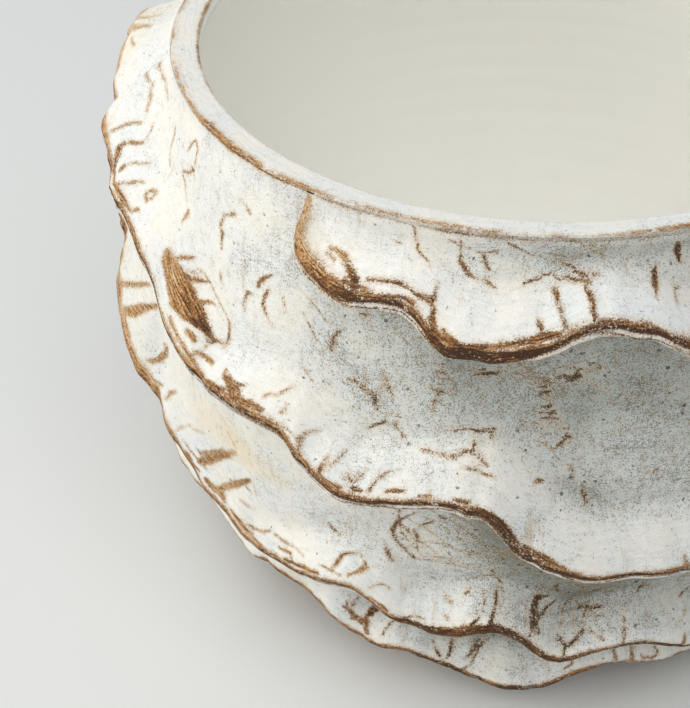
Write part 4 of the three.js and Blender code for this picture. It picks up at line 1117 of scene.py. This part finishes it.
        (0, [(160.8, 42.6, 0.4), (160.2, 36, 0.4), (160.6, 30.9, 0.4), (162, 26.5, 0.3),
            (163.6, 22.8, 0.2)]),
        (0, [(161.6, 46.7, 0.3), (163.2, 51, 0.4), (165.2, 53.1, 0.3), (166.8, 52.6, 0.2)]),
        (0, [(168.4, 28.4, 0.2), (171.3, 23.4, 0.2), (174.4, 20.6, 0.2)]),
        (0, [(170, 35, 0.2), (172.8, 27.1, 0.2), (175.6, 23.4, 0.2)]),
        (0, [(161.6, 1.2, 0.4), (163.1, 3.2, 0.3), (164.6, 3.4, 0.2)]),
        (0.4, [(184.1, 16.1, 0.4), (182.7, 15.2, 0.7), (181.4, 12.4, 0.8), (180.8, 9.1, 0.7),
            (181.2, 6.8, 0.4)]),
        (-0.4, [(186.8, 14.5, 0.3), (187.9, 11.9, 0.6), (189.3, 11, 0.7), (190.8, 10.4, 0.6)]),
        (0.4, [(184, 5.9, 0.3), (185.6, 4, 0.6), (186.9, 5.2, 0.6), (188.1, 7.4, 0.4)]),
        (0.4, [(189, 7.1, 0.3), (189.7, 4.7, 0.4), (190.8, 3, 0.4)]),
    ],
    "frill_right": [
        (0, [(225.2, 11.4, 0.5), (224.9, 10, 0.8), (224.6, 8, 0.8), (224.2, 5.7, 0.7)]),
        (0, [(221.1, 8.4, 0.5), (222, 8.1, 0.7), (222.8, 6.2, 0.7), (224, 5.1, 0.7)]),
        (0, [(239.8, 9.2, 0.3), (239.3, 6.3, 0.4), (238.7, 3.3, 0.5)]),
        (0, [(243.9, 10.4, 0.5), (242.9, 8.5, 0.5), (242, 6.3, 0.4)]),
        (0, [(221.6, 10.6, 0.3), (221.7, 8.9, 0.4)]),
        (0, [(223, 13.2, 0.2), (222.6, 11.8, 0.3), (222.4, 9.7, 0.3)]),
        (-0.5, [(226.8, 12, 0.6), (225.8, 11.3, 1.4), (225.1, 9.5, 1.3)]),
        (0.5, [(222.4, 5.2, 0.3), (223.6, 5.7, 0.6), (224.8, 6.9, 0.8), (224.8, 4.1, 0.7),
            (225.2, 2.9, 0.6)]),
        (0.4, [(229.9, 9.5, 0.2), (228.9, 8.3, 0.3), (228.1, 5.9, 0.4), (228, 4.6, 0.4)]),
        (0.4, [(236.3, 7.3, 0.3), (236.8, 4.9, 0.4), (237.6, 3.3, 0.4)]),
        (0.4, [(239, 9.3, 0.3), (239.2, 7.3, 0.4), (239.2, 4.5, 0.4)]),
        (0.3, [(245.1, 13.7, 0.3), (244, 11.6, 0.4), (243, 9.7, 0.4), (242.6, 7.5, 0.3)]),
        (0.4, [(245.8, 13.3, 0.2), (244.4, 10.9, 0.4), (243.7, 8.2, 0.4), (242.9, 4.8, 0.4),
            (241.6, 2.3, 0.4)]),
        (0.3, [(260.1, 6.4, 0.6), (260, 4.6, 0.4), (258.8, 4.6, 0.4)]),
    ],
}

# Thumb dents along the lips: (turn, rise over the lip, radius, depth), a bump where the depth is
# negative. Each is ringed by the clay that it pushed up.
thumbDents = {
    "frill_left": [
        (78.3, 6.4, 4.5, 0.8), (69.6, 5.6, 3.9, 0.6), (82, 9, 2.2, 0.4), (63.5, 7, 2.8, 0.5),
        (89.1, 7.9, 3.6, 0.5), (55.6, 15.5, 3.6, 0.5), (98.4, 12.6, 4.2, 0.4),
    ],
    "frill_back": [
        (154.6, 8.1, 2.5, 0.6), (166.4, 33.6, 7.3, 0.5), (170.7, 7.6, 5.6, -0.5), (164.4, 7.7, 2.8, 0.4),
        (133.2, 7.8, 3.4, 0.5), (138.6, 3.8, 2.8, 0.5), (128.2, 6.9, 2.8, 0.5), (147.9, 14, 2.5, 0.4),
        (183.1, 16.9, 2, -0.6), (186.2, 11.2, 2, -0.6), (182.8, 8.4, 2, -0.6), (188, 7.6, 2, -0.6),
        (120.7, 12.7, 3.4, 0.5), (116.5, 14.6, 2.8, 0.5),
    ],
    "frill_front_left": [
        (25.5, 5.7, 4.8, -0.5), (16.4, 2, 2.8, 0.4), (38.6, 4.4, 3.4, 0.5), (9.1, 3.4, 2.2, 0.4),
        (34.7, 5.4, 2.2, 0.4),
    ],
}

# The sides that the photograph doesn't show get marks of the same kinds, thrown with a seed.
marking = {
    "seenFrom": 157.0,
    "seenTo": 281.0,
    "spacing": 2.7,  # degrees between marks
    "unevenness": 5.0,
    "margin": 3.0,
    "ridgeShare": 0.3,  # short marks across the lip; the rest are crescents, scratches and patches
    "ridge": {"length": (3, 8), "width": (0.35, 0.8), "dig": (0.3, 0.6), "foot": 0.8},
    "crescentShare": 0.45,
    "crescent": {"radius": (1.8, 4.8), "width": (0.2, 0.5), "sweep": (80, 190), "dig": 0.6},
    "scratchShare": 0.17,
    "scratch": {"length": (4, 11), "width": (0.12, 0.3), "slant": (-35, 50)},
    "patch": {"length": (4, 8), "width": (0.5, 1.3), "slant": (30, 120)},
}


def thrownMarks(frill, turns, room):
    dice = np.random.default_rng(frill["start"])
    ridge, crescent, scratch, patch = (marking[kind] for kind in ("ridge", "crescent", "scratch", "patch"))
    fifths = (0, 0.25, 0.5, 0.75, 1)
    marks = []
    for turn in np.arange(marking["margin"], turns[-1] - marking["margin"], marking["spacing"]):
        kind, height, size, sweep, tilt, bend = dice.random(6)
        turn = turn + (sweep - 0.5) * marking["unevenness"]
        if marking["seenFrom"] < (frill["start"] + turn) % 360 < marking["seenTo"]:
            continue
        space = float(np.interp(turn, turns, room))
        if kind < marking["ridgeShare"]:
            length, width = mix(*ridge["length"], size), mix(*ridge["width"], sweep)
            marks.append((mix(*ridge["dig"], tilt), [
                (turn + (bend - 0.5) * share, ridge["foot"] + length * share, width * (1.3 - share))
                for share in (0, 0.35, 0.7, 1)]))
            continue
        middle = mix(3, max(space - 4, 4), height)
        kind -= marking["ridgeShare"]
        dig = 0
        if kind < marking["crescentShare"]:
            radius, width = mix(*crescent["radius"], size * size), mix(*crescent["width"], bend)
            places = []
            for part in fifths:
                angle = math.radians(tilt * 360 + part * mix(*crescent["sweep"], sweep))
                places.append((math.cos(angle) * radius, math.sin(angle) * radius,
                               width * math.sin(0.6 + 2.0 * part)))
            dig = crescent["dig"]
        elif kind < marking["crescentShare"] + marking["scratchShare"]:
            length, width = mix(*scratch["length"], size), mix(*scratch["width"], sweep)
            slant = math.radians(mix(*scratch["slant"], tilt))
            places = [(math.cos(slant) * length * part,
                       math.sin(slant) * length * part + bend * part * part * 2, width)
                      for part in (0, 0.33, 0.66, 1)]
        else:
            length, width = mix(*patch["length"], size), mix(*patch["width"], sweep)
            slant = math.radians(mix(*patch["slant"], tilt))
            places = [(math.cos(slant) * length * part, math.sin(slant) * length * part,
                       width * math.sin(0.5 + 2.2 * part)) for part in fifths]
        marks.append((dig, [(turn + x / degreeLength, middle + y / clay["slope"], width)
                            for x, y, width in places]))
    return marks


def routeAt(route, turns):  # smooth curves through a route's points
    knots = np.array(route, float)
    place, values = knots[:, 0], knots[:, 1:]
    slopes = np.zeros_like(values)
    slopes[1:-1] = (values[2:] - values[:-2]) / (place[2:] - place[:-2])[:, None]
    slopes[0] = (values[1] - values[0]) / (place[1] - place[0])
    turns = np.clip(turns, place[0], place[-1])
    index = np.clip(np.searchsorted(place, turns, side="right") - 1, 0, len(place) - 2)
    gap = place[index + 1] - place[index]
    share = ((turns - place[index]) / gap)[:, None]
    gap = gap[:, None]
    start = (1 + 2 * share) * (1 - share) ** 2 * values[index]
    start = start + share * (1 - share) ** 2 * gap * slopes[index]
    end = share ** 2 * (3 - 2 * share) * values[index + 1]
    return (start + end + share ** 2 * (share - 1) * gap * slopes[index + 1]).T


def lipOf(frill, turns):  # the lip's height and reach, with the unsteadiness of a hand-pulled edge
    fall, reach = routeAt(frill["route"], turns)
    height = mix(pot["bowlTop"], clay["lowestLip"], fall / 100)
    length = turns * math.pi / 180 * clay["midRadius"]
    settled = smooth(turns, 1, 6)
    seed = frill["start"]
    wide, fine = clay["lipSwing"]
    height = height + (sway(length, wide, seed) + sway(length, fine, seed + 1)) * settled
    wide, fine = clay["reachSwing"]
    reach = reach + (sway(length, wide, seed + 2) + sway(length, fine, seed + 3)) * settled
    return np.maximum(height, clay["lowestLip"]), reach


def flare(share):
    share = np.clip(share, 0, 1)
    straight = clay["straightFlare"]
    return straight * (1 - share) + (1 - straight) / 2 * (1 + np.cos(math.pi * share))


def distanceToLip(heights, lip):  # how far each point of the slab is from the nearest bit of lip
    columnLength = math.radians(clay["columnStep"]) * clay["midRadius"]
    columns = np.arange(len(lip))
    nearest = np.full(heights.shape, np.inf)
    span = int(clay["lipSearch"] / columnLength)
    for shift in range(-span, span + 1):
        other = np.clip(columns + shift, 0, len(lip) - 1)
        sideways = (other - columns) * columnLength
        nearest = np.minimum(nearest, np.hypot(sideways[:, None], heights - lip[other][:, None]))
    return nearest


def markField(strokes, turns, rise, lip):
    # How deep each point lies inside the nearest stroke, in millimetres, and the hollow that
    # the tool pressed beside it. A stroke is (dig, [(turn, rise, half width), ...]).
    farOutside, margin = -9.0, 9.0
    inside = np.full(rise.shape, farOutside)
    pressed = np.zeros(rise.shape)
    for dig, points in strokes:
        knots = np.array(points, float)
        near = np.nonzero((turns > knots[:, 0].min() - margin / degreeLength)
                          & (turns < knots[:, 0].max() + margin / degreeLength))[0]
        if len(near) < 2:
            continue
        knotLip = np.interp(knots[:, 0], turns, lip)
        spot = np.stack([knots[:, 0] * degreeLength, knots[:, 1] * clay["slope"] + knotLip], axis=-1)
        east = turns[near][:, None] * degreeLength + np.zeros_like(rise[near])
        north = rise[near] * clay["slope"] + lip[near][:, None]
        best = np.full(east.shape, farOutside)
        closest = np.full(east.shape, np.inf)
        side = np.zeros(east.shape)
        for index in range(len(spot) - 1):
            a, b = spot[index], spot[index + 1]
            run = b - a
            share = ((east - a[0]) * run[0] + (north - a[1]) * run[1]) / max(run @ run, 1e-6)
            share = np.clip(share, 0, 1)
            away = np.hypot(east - a[0] - share * run[0], north - a[1] - share * run[1])
            best = np.maximum(best, mix(knots[index, 2], knots[index + 1, 2], share) - away)
            turnedTo = run[0] * (north - a[1]) - run[1] * (east - a[0])
            side = np.where(away < closest, np.sign(turnedTo), side)
            closest = np.minimum(closest, away)
        inside[near] = np.maximum(inside[near], best)
        if dig:
            hollowSide = side * math.copysign(1, dig) > 0
            depth = abs(dig) * np.exp(-closest / clay["digSpread"]) * hollowSide
            depth = depth * smooth(closest, 0, clay["digEdge"])
            pressed[near] = np.maximum(pressed[near], depth)
    return inside, pressed


def byTurn(turns, points):  # a value along the slab, given by its (turn, value) points
    return np.interp(turns, *np.array(points, float).T)


def sway(lengths, swing, seed):  # an unsteadiness along the slab, by its (size, amount)
    return along(lengths, swing[0], seed) * swing[1]


def layOut(order):
    # where a slab lies, column by column: its turn, its lip, how far that stands out, and its top
    frill = frills[order]
    upper = frills[(order + 1) % len(frills)]
    lead = (upper["start"] - frill["start"]) % 360
    turns = np.arange(frill["route"][0][0], 360 - clay["columnStep"], clay["columnStep"])
    lip, reach = lipOf(frill, turns)
    upperLip = lipOf(upper, turns - lead)[0]
    underRim = turns < lead + clay["luting"]
    shownTop = np.where(underRim, clay["underRim"], upperLip - clay["edgeHeight"] + clay["tuck"])
    # past the upper frill's start, the slab still runs up behind it for a while, out of sight
    hidden = (clay["underRim"] - shownTop) * (1 - smooth(turns, lead, lead + clay["tuckFade"]))
    top = shownTop + np.where(underRim, 0, hidden)
    slab = {"turns": turns, "lip": lip, "reach": reach,
            "underRim": underRim, "shownTop": shownTop, "top": top}
    # it ends where the band between its lip and the edge above gets too narrow
    tooLow = np.nonzero((turns > 180) & (shownTop - clay["tuck"] - lip < clay["leastBand"]))[0]
    last = tooLow[0] if len(tooLow) else len(turns)
    slab = {key: values[:last] for key, values in slab.items()}
    slab["frill"] = frill
    slab["angles"] = np.radians(frill["start"] + slab["turns"])
    slab["lengths"] = np.radians(slab["turns"]) * clay["midRadius"]
    return slab


def awayFrom(slab, turn, rise):  # how far the points of the outer face are from a spot on it
    return np.hypot((slab["turns"][:, None] - turn) * degreeLength, (slab["overLip"] - rise) * clay["slope"])


def shapeOutside(slab):
    # the slab's outer face, from the lip up to the top
    frill, turns, lip, angles = slab["frill"], slab["turns"], slab["lip"], slab["angles"][:, None]
    underRim, reach = slab["underRim"][:, None], slab["reach"][:, None]
    rise = (np.arange(clay["outerRows"]) / (clay["outerRows"] - 1)) ** clay["rowSpacing"]
    heights = lip[:, None] + (slab["top"] - lip)[:, None] * rise
    wall = wallRadius(heights)
    fromLip = distanceToLip(heights, lip)
    fromStart = np.broadcast_to((slab["lengths"] - slab["lengths"][0])[:, None], heights.shape)
    fromTop = slab["shownTop"][:, None] - heights
    slab["overLip"] = heights - lip[:, None]

    flareWidth = byTurn(turns, frill.get("lipWidth", clay["lipWidth"]))[:, None] * reach
    share = np.minimum(fromLip / flareWidth, fromStart / clay["startFlare"])
    cover = clay["slabCover"] + (reach - clay["slabCover"]) * flare(share)
    deepest = smooth(fromLip, clay["hollowFrom"] * flareWidth, clay["hollowTo"] * flareWidth)
    deepest = deepest * smooth(fromStart, *clay["hollowStart"])
    hollows = byTurn(turns, frill["hollows"])[:, None]
    underTop = smooth(fromTop, -2, frill.get("hollowTop", clay["hollowTop"]))
    cover = cover - clay["hollowDepth"] * np.minimum(hollows, 1) * deepest * underTop
    onWall = np.stack([wall * np.cos(angles), wall * np.sin(angles), heights], axis=-1)
    folds, lumps = (sum(clayNoise(onWall, size, seed) * depth for size, depth, seed in clay[kind])
                    for kind in ("folds", "lumps"))
    cover = cover + folds * smooth(fromTop, 0, clay["foldFade"]) + lumps
    marks = toolMarks.get(frill["node"], []) + thrownMarks(frill, turns, slab["shownTop"] - lip)
    marked, pressed = markField(marks, turns, slab["overLip"], lip)
    cover = cover - pressed * smooth(fromTop, 0, clay["digFade"])
    for turn, up, size, depth in thumbDents.get(frill["node"], []):
        away = awayFrom(slab, turn, up) / size
        ridge = clay["ridgeHeight"] * np.exp(-((away - clay["ridgeAt"]) / clay["ridgeWidth"]) ** 2)
        cover = cover - depth * (np.exp(-away ** 2 * clay["dentWidth"]) - ridge)
    radius = wall + np.maximum(cover, clay["leastCover"])
    # close on the rim band's side, or tuck in behind the upper frill
    closed = mix(clay["rimSide"], radius, smooth(fromTop, 0, clay["closing"]))
    cove = np.exp(-np.clip(fromTop - clay["tuck"], 0, None) / clay["coveWidth"]) * clay["coveDepth"]
    tucked = mix(radius + cove, wall + clay["behind"], smooth(-fromTop, 0, 1))
    radius = np.where(underRim, closed, tucked)
    startRound = np.sqrt(1 - (1 - np.clip(fromStart / clay["startRounding"], 0, 1)) ** 2)
    radius = mix(wall, radius, clay["startHeight"] + (1 - clay["startHeight"]) * startRound)
    slab.update(heights=heights, radius=radius, onWall=onWall, fromLip=fromLip, fromStart=fromStart,
                fromTop=fromTop, deepest=deepest, hollows=hollows, marked=marked)


def closeSlab(slab):
    # the edge face, the underside and the inside, down from the lip and back up to the top
    lip, top, angles = slab["lip"], slab["top"], slab["angles"][:, None]
    outerHeights, outerRadius = slab["heights"], slab["radius"]
    drop = np.linspace(0, 1, clay["faceRows"] + 1)[1:]
    faceHeights = lip[:, None] - clay["edgeHeight"] * drop
    layers = np.sin(drop * clay["edgeLayers"] * math.pi) * clay["layerDepth"]
    faceRadius = outerRadius[:, :1] - wallRadius(lip)[:, None] + wallRadius(faceHeights)
    faceRadius = faceRadius - clay["edgeUndercut"] * drop ** clay["undercutBend"] + layers
    bottom = lip - clay["edgeHeight"]
    inner = wallRadius(bottom) + clay["slabBack"]
    underRadius = mix(faceRadius[:, -1:], inner[:, None], np.linspace(0, 1, clay["underRows"] + 1)[1:])
    underHeights = np.broadcast_to(bottom[:, None], underRadius.shape)
    backRise = np.linspace(0, 1, clay["backRows"] + 1)[1:] ** clay["backSpacing"]
    backHeights = bottom[:, None] + (top - bottom)[:, None] * backRise
    backRadius = wallRadius(backHeights) + clay["slabBack"]

    radius = np.concatenate([outerRadius[:, ::-1], faceRadius, underRadius, backRadius], axis=1)
    heights = np.concatenate([outerHeights[:, ::-1], faceHeights, underHeights, backHeights], axis=1)
    corner = clay["outerRows"] - 1
    for _ in range(2):  # rounds the lip's corner
        around = slice(corner - 3, corner + 4)
        before, after = slice(corner - 4, corner + 3), slice(corner - 2, corner + 5)
        for rows in (radius, heights):
            rows[:, around] = rows[:, around] / 2 + (rows[:, before] + rows[:, after]) / 4
    slab["points"] = np.stack([radius * np.cos(angles), radius * np.sin(angles), heights], axis=-1)
    slab["faceDepth"] = clay["edgeHeight"] * drop


def bareClayOn(slab, litSide):
    # how far inside bare clay each point of the outer face and of the edge face is
    frill, turns, lengths = slab["frill"], slab["turns"], slab["lengths"]
    fromLip, fromStart, faceDepth = slab["fromLip"], slab["fromStart"], slab["faceDepth"]
    seed = frill["start"]
    swing = np.clip(along(lengths, wear["upSwing"][0], seed + 5), -0.3, 1) * wear["upSwing"][1]
    wornUp = wear["up"] + swing + sway(lengths, wear["upJitter"], seed + 6)
    wornDown = wear["down"] + sway(lengths, wear["downSwing"], seed + 7)
    if "edge" in frill:
        place, up, down = np.array(frill["edge"], float).T
        known = smooth(turns, place[0] - wear["edgeFade"], place[0])
        known = known * (1 - smooth(turns, place[-1], place[-1] + wear["edgeFade"]))
        shownUp = np.interp(turns, place, up) + sway(lengths, wear["edgeJitter"], seed + 6)
        wornUp = mix(wornUp, shownUp, known)
        wornDown = mix(wornDown, np.interp(turns, place, down), known)
    size, amount = wear["startJitter"]
    startEdge = fromStart - wear["start"] - clayNoise(slab["onWall"], size, 35) * amount
    nearEdge = np.minimum(fromLip - wornUp[:, None], startEdge)
    # painted light: marks show less bare clay on the lit side
    inMark = np.minimum(slab["marked"], wear["markDepth"]) - wear["paintedLitFade"] * litSide
    bare = np.maximum(inMark, -wear["steepness"] * nearEdge)
    fromCorner = np.minimum(fromLip, fromStart)
    bare = np.minimum(bare, wear["clayDepth"] + wear["coreDepth"] * np.exp(-fromCorner / wear["coreWidth"]))
    if "topLine" in frill:  # the slab's worn top edge, seen where the rim is narrow
        topLine = byTurn(turns, frill["topLine"]) + sway(lengths, wear["topJitter"], seed + 8)
        onTop = np.maximum(bare, (topLine[:, None] - slab["fromTop"]) * wear["topSteepness"])
        bare = np.where(slab["underRim"][:, None], onTop, bare)
    crease = np.broadcast_to(faceDepth - clay["edgeHeight"], (len(turns), len(faceDepth)))
    threadAt = wear["threadAt"] + sway(lengths, wear["threadSwing"], seed + 9)[:, None]
    thread = wear["threadWidth"] - np.abs(faceDepth - threadAt)
    return bare, np.maximum(np.maximum(wornDown[:, None] - faceDepth, crease), thread)


def finishFields(slab):
    # what the finish needs: bare clay, the grit and painted shade of its hollows, how scorched it is (with
    # painted light and shade in that), and the way of the brush
    frill, turns, lengths, points = slab["frill"], slab["turns"], slab["lengths"], slab["points"]
    fromLip, onWall = slab["fromLip"], slab["onWall"]
    # painted light: the side the key lamp lights gets paler clay, fainter marks and more cream wash
    fromLitSide = (np.degrees(slab["angles"]) % 360 - wear["paintedLitSide"]) / wear["paintedLitSpread"]
    litSide = np.exp(-fromLitSide ** 2)[:, None]
    bare, faceBare = bareClayOn(slab, litSide)
    size, amount = wear["paintedShadeSwing"]
    # the hollow field: painted shade in the hollows, which also thickens the real grit and specks there
    hollow = mix(smooth(fromLip, 3, 20) * wear["paintedShadeNearLip"], 1, slab["deepest"] * wear["paintedShadeDeep"])
    hollow = hollow * (wear["paintedShadeEvenly"] + amount * clayNoise(onWall, size, 41)) * slab["hollows"]
    fall = wear["paintedShadeFall"] * smooth(slab["fromTop"], *wear["paintedShadeFallFrom"])
    hollow = hollow * (wear["paintedShadeTop"] - fall)
    # painted shade where a frill lies in the shadow of the one above
    shade = byTurn(turns, frill.get("shade", [(0, 0)]))[:, None]
    hollow = np.maximum(hollow, shade * smooth(fromLip, 0, 5))
    size, amount = wear["scorchSwing"]
    # painted shade: the bare clay is made darker where the hollows are grey
    scorch = wear["scorch"] + wear["scorchInGrey"] * hollow + clayNoise(onWall, size, 42) * amount
    size, amount = wear["paleStart"]
    scorch = scorch - amount * np.exp(-slab["fromStart"] / size) - wear["paintedLitPale"] * litSide
    for turn, up, radius, amount in frill.get("scorch", []):
        scorch = scorch + amount * np.exp(-(awayFrom(slab, turn, up) / radius) ** 2)
    faceScorch = wear["faceScorch"] + sway(lengths, wear["faceSwing"], frill["start"] + 10)
    size, amount = wear["paleFace"]
    faceScorch = faceScorch - amount * np.exp(-lengths / size)

    corner = clay["outerRows"] - 1
    restRows = points.shape[1] - corner - 1 - clay["faceRows"]
    rest = np.ones((len(turns), restRows))
    # the scorch field also carries painted shade in the hollows and painted light on the lit side
    fields = {
        "bare": [bare, faceBare],
        "hollow": [hollow, faceBare * 0 + wear["faceGrey"]],
        "scorch": [scorch, np.broadcast_to(faceScorch[:, None], faceBare.shape)],
    }
    fields = {key: np.concatenate([outside[:, ::-1], face, rest * wear["hidden"][key]], axis=1)
              for key, (outside, face) in fields.items()}
    fields["bare"][0] = np.maximum(fields["bare"][0], wear["startFace"])
    step = np.linalg.norm(np.diff(points, axis=1, prepend=points[:, :1]), axis=-1)
    upWall = np.cumsum(step, axis=1)
    upWall = upWall[:, corner:corner + 1] - upWall
    fields["lay"] = np.stack([np.broadcast_to(lengths[:, None], upWall.shape), upWall,
                              upWall * 0 + frill["start"]], axis=-1)
    return fields


def makeFrill(order):
    slab = layOut(order)
    shapeOutside(slab)
    closeSlab(slab)
    fields = {key: values[:, ::-1] for key, values in finishFields(slab).items()}
    frillNode = slab["frill"]["node"]
    piece = gridMesh(frillNode + "_slab", slab["points"][:, ::-1], fields, False, whitewashMaterial)
    settle(piece, frillNode)


for order in range(len(frills)):
    makeFrill(order)
print("frills made")


# A plain pale studio: floor, world light and three large soft lamps, the key low on the left.
studio = {
    "floor": "#e4e5e3",
    "floorSize": 6.0,
    "worldColour": "#e6eaef",
    "worldStrength": 0.56,
    "lamps": [  # name, place, size, power, colour
        ("key", (-1.8, -0.25, 0.62), 1.7, 16.8, "#fffcf6"),
        ("front", (0.0, -0.95, 1.7), 1.6, 12.0, "#ffffff"),
        ("upper left", (-0.9, 0.1, 1.7), 1.6, 5.6, "#fffcf6"),
    ],
    "aim": (0.0, 0.0, 0.1),
}


def makeLight(name, place, size, power, colour):
    lamp = bpy.data.lights.new(name, "AREA")
    lamp.shape = "DISK"
    lamp.size = size
    lamp.energy = power
    lamp.color = srgb(colour)[:3]
    light = bpy.data.objects.new(name, lamp)
    light.location = place
    east, north, up = np.array(studio["aim"]) - np.array(place)
    tilt = math.atan2(math.hypot(east, north), -up)
    light.rotation_euler = (tilt, 0, math.atan2(north, east) - math.pi / 2)
    bpy.context.scene.collection.objects.link(light)


def makeStage():
    material, tree = newMaterial("studio_paper")
    shader = node(tree, "ShaderNodeBsdfPrincipled", {"Base Color": srgb(studio["floor"]), "Roughness": 0.95})
    node(tree, "ShaderNodeOutputMaterial", {"Surface": shader.outputs[0]})
    half = studio["floorSize"] / 2
    mesh = bpy.data.meshes.new("floor")
    corners = [(-half, -half, 0), (half, -half, 0), (half, half, 0), (-half, half, 0)]
    mesh.from_pydata(corners, [], [(0, 1, 2, 3)])
    mesh.materials.append(material)
    floor = bpy.data.objects.new("floor", mesh)
    bpy.context.scene.collection.objects.link(floor)
    world = bpy.data.worlds.new("studio")
    world.use_nodes = True
    tree = world.node_tree
    tree.nodes.clear()
    sky = node(tree, "ShaderNodeBackground", {
        "Color": srgb(studio["worldColour"]), "Strength": studio["worldStrength"]})
    node(tree, "ShaderNodeOutputWorld", {"Surface": sky.outputs[0]})
    bpy.context.scene.world = world
    for name, place, size, power, colour in studio["lamps"]:
        makeLight(name, place, size, power, colour)


# The photograph's viewpoint, worked out from the two curves of the rim
view = {
    "place": (-0.0573, -0.5420, 0.4686),
    "lookDown": 36.86,
    "lens": 105.0,
    "sensor": 36.0,
}


def makeCamera():
    lens = bpy.data.cameras.new("camera")
    lens.lens = view["lens"]
    lens.sensor_width = view["sensor"]
    camera = bpy.data.objects.new("camera", lens)
    camera.location = view["place"]
    camera.rotation_euler = (math.radians(90 - view["lookDown"]), 0, 0)
    bpy.context.scene.collection.objects.link(camera)
    bpy.context.scene.camera = camera
    bpy.context.scene.view_settings.view_transform = "Standard"


makeStage()
makeCamera()
print("stage, lights and camera made")
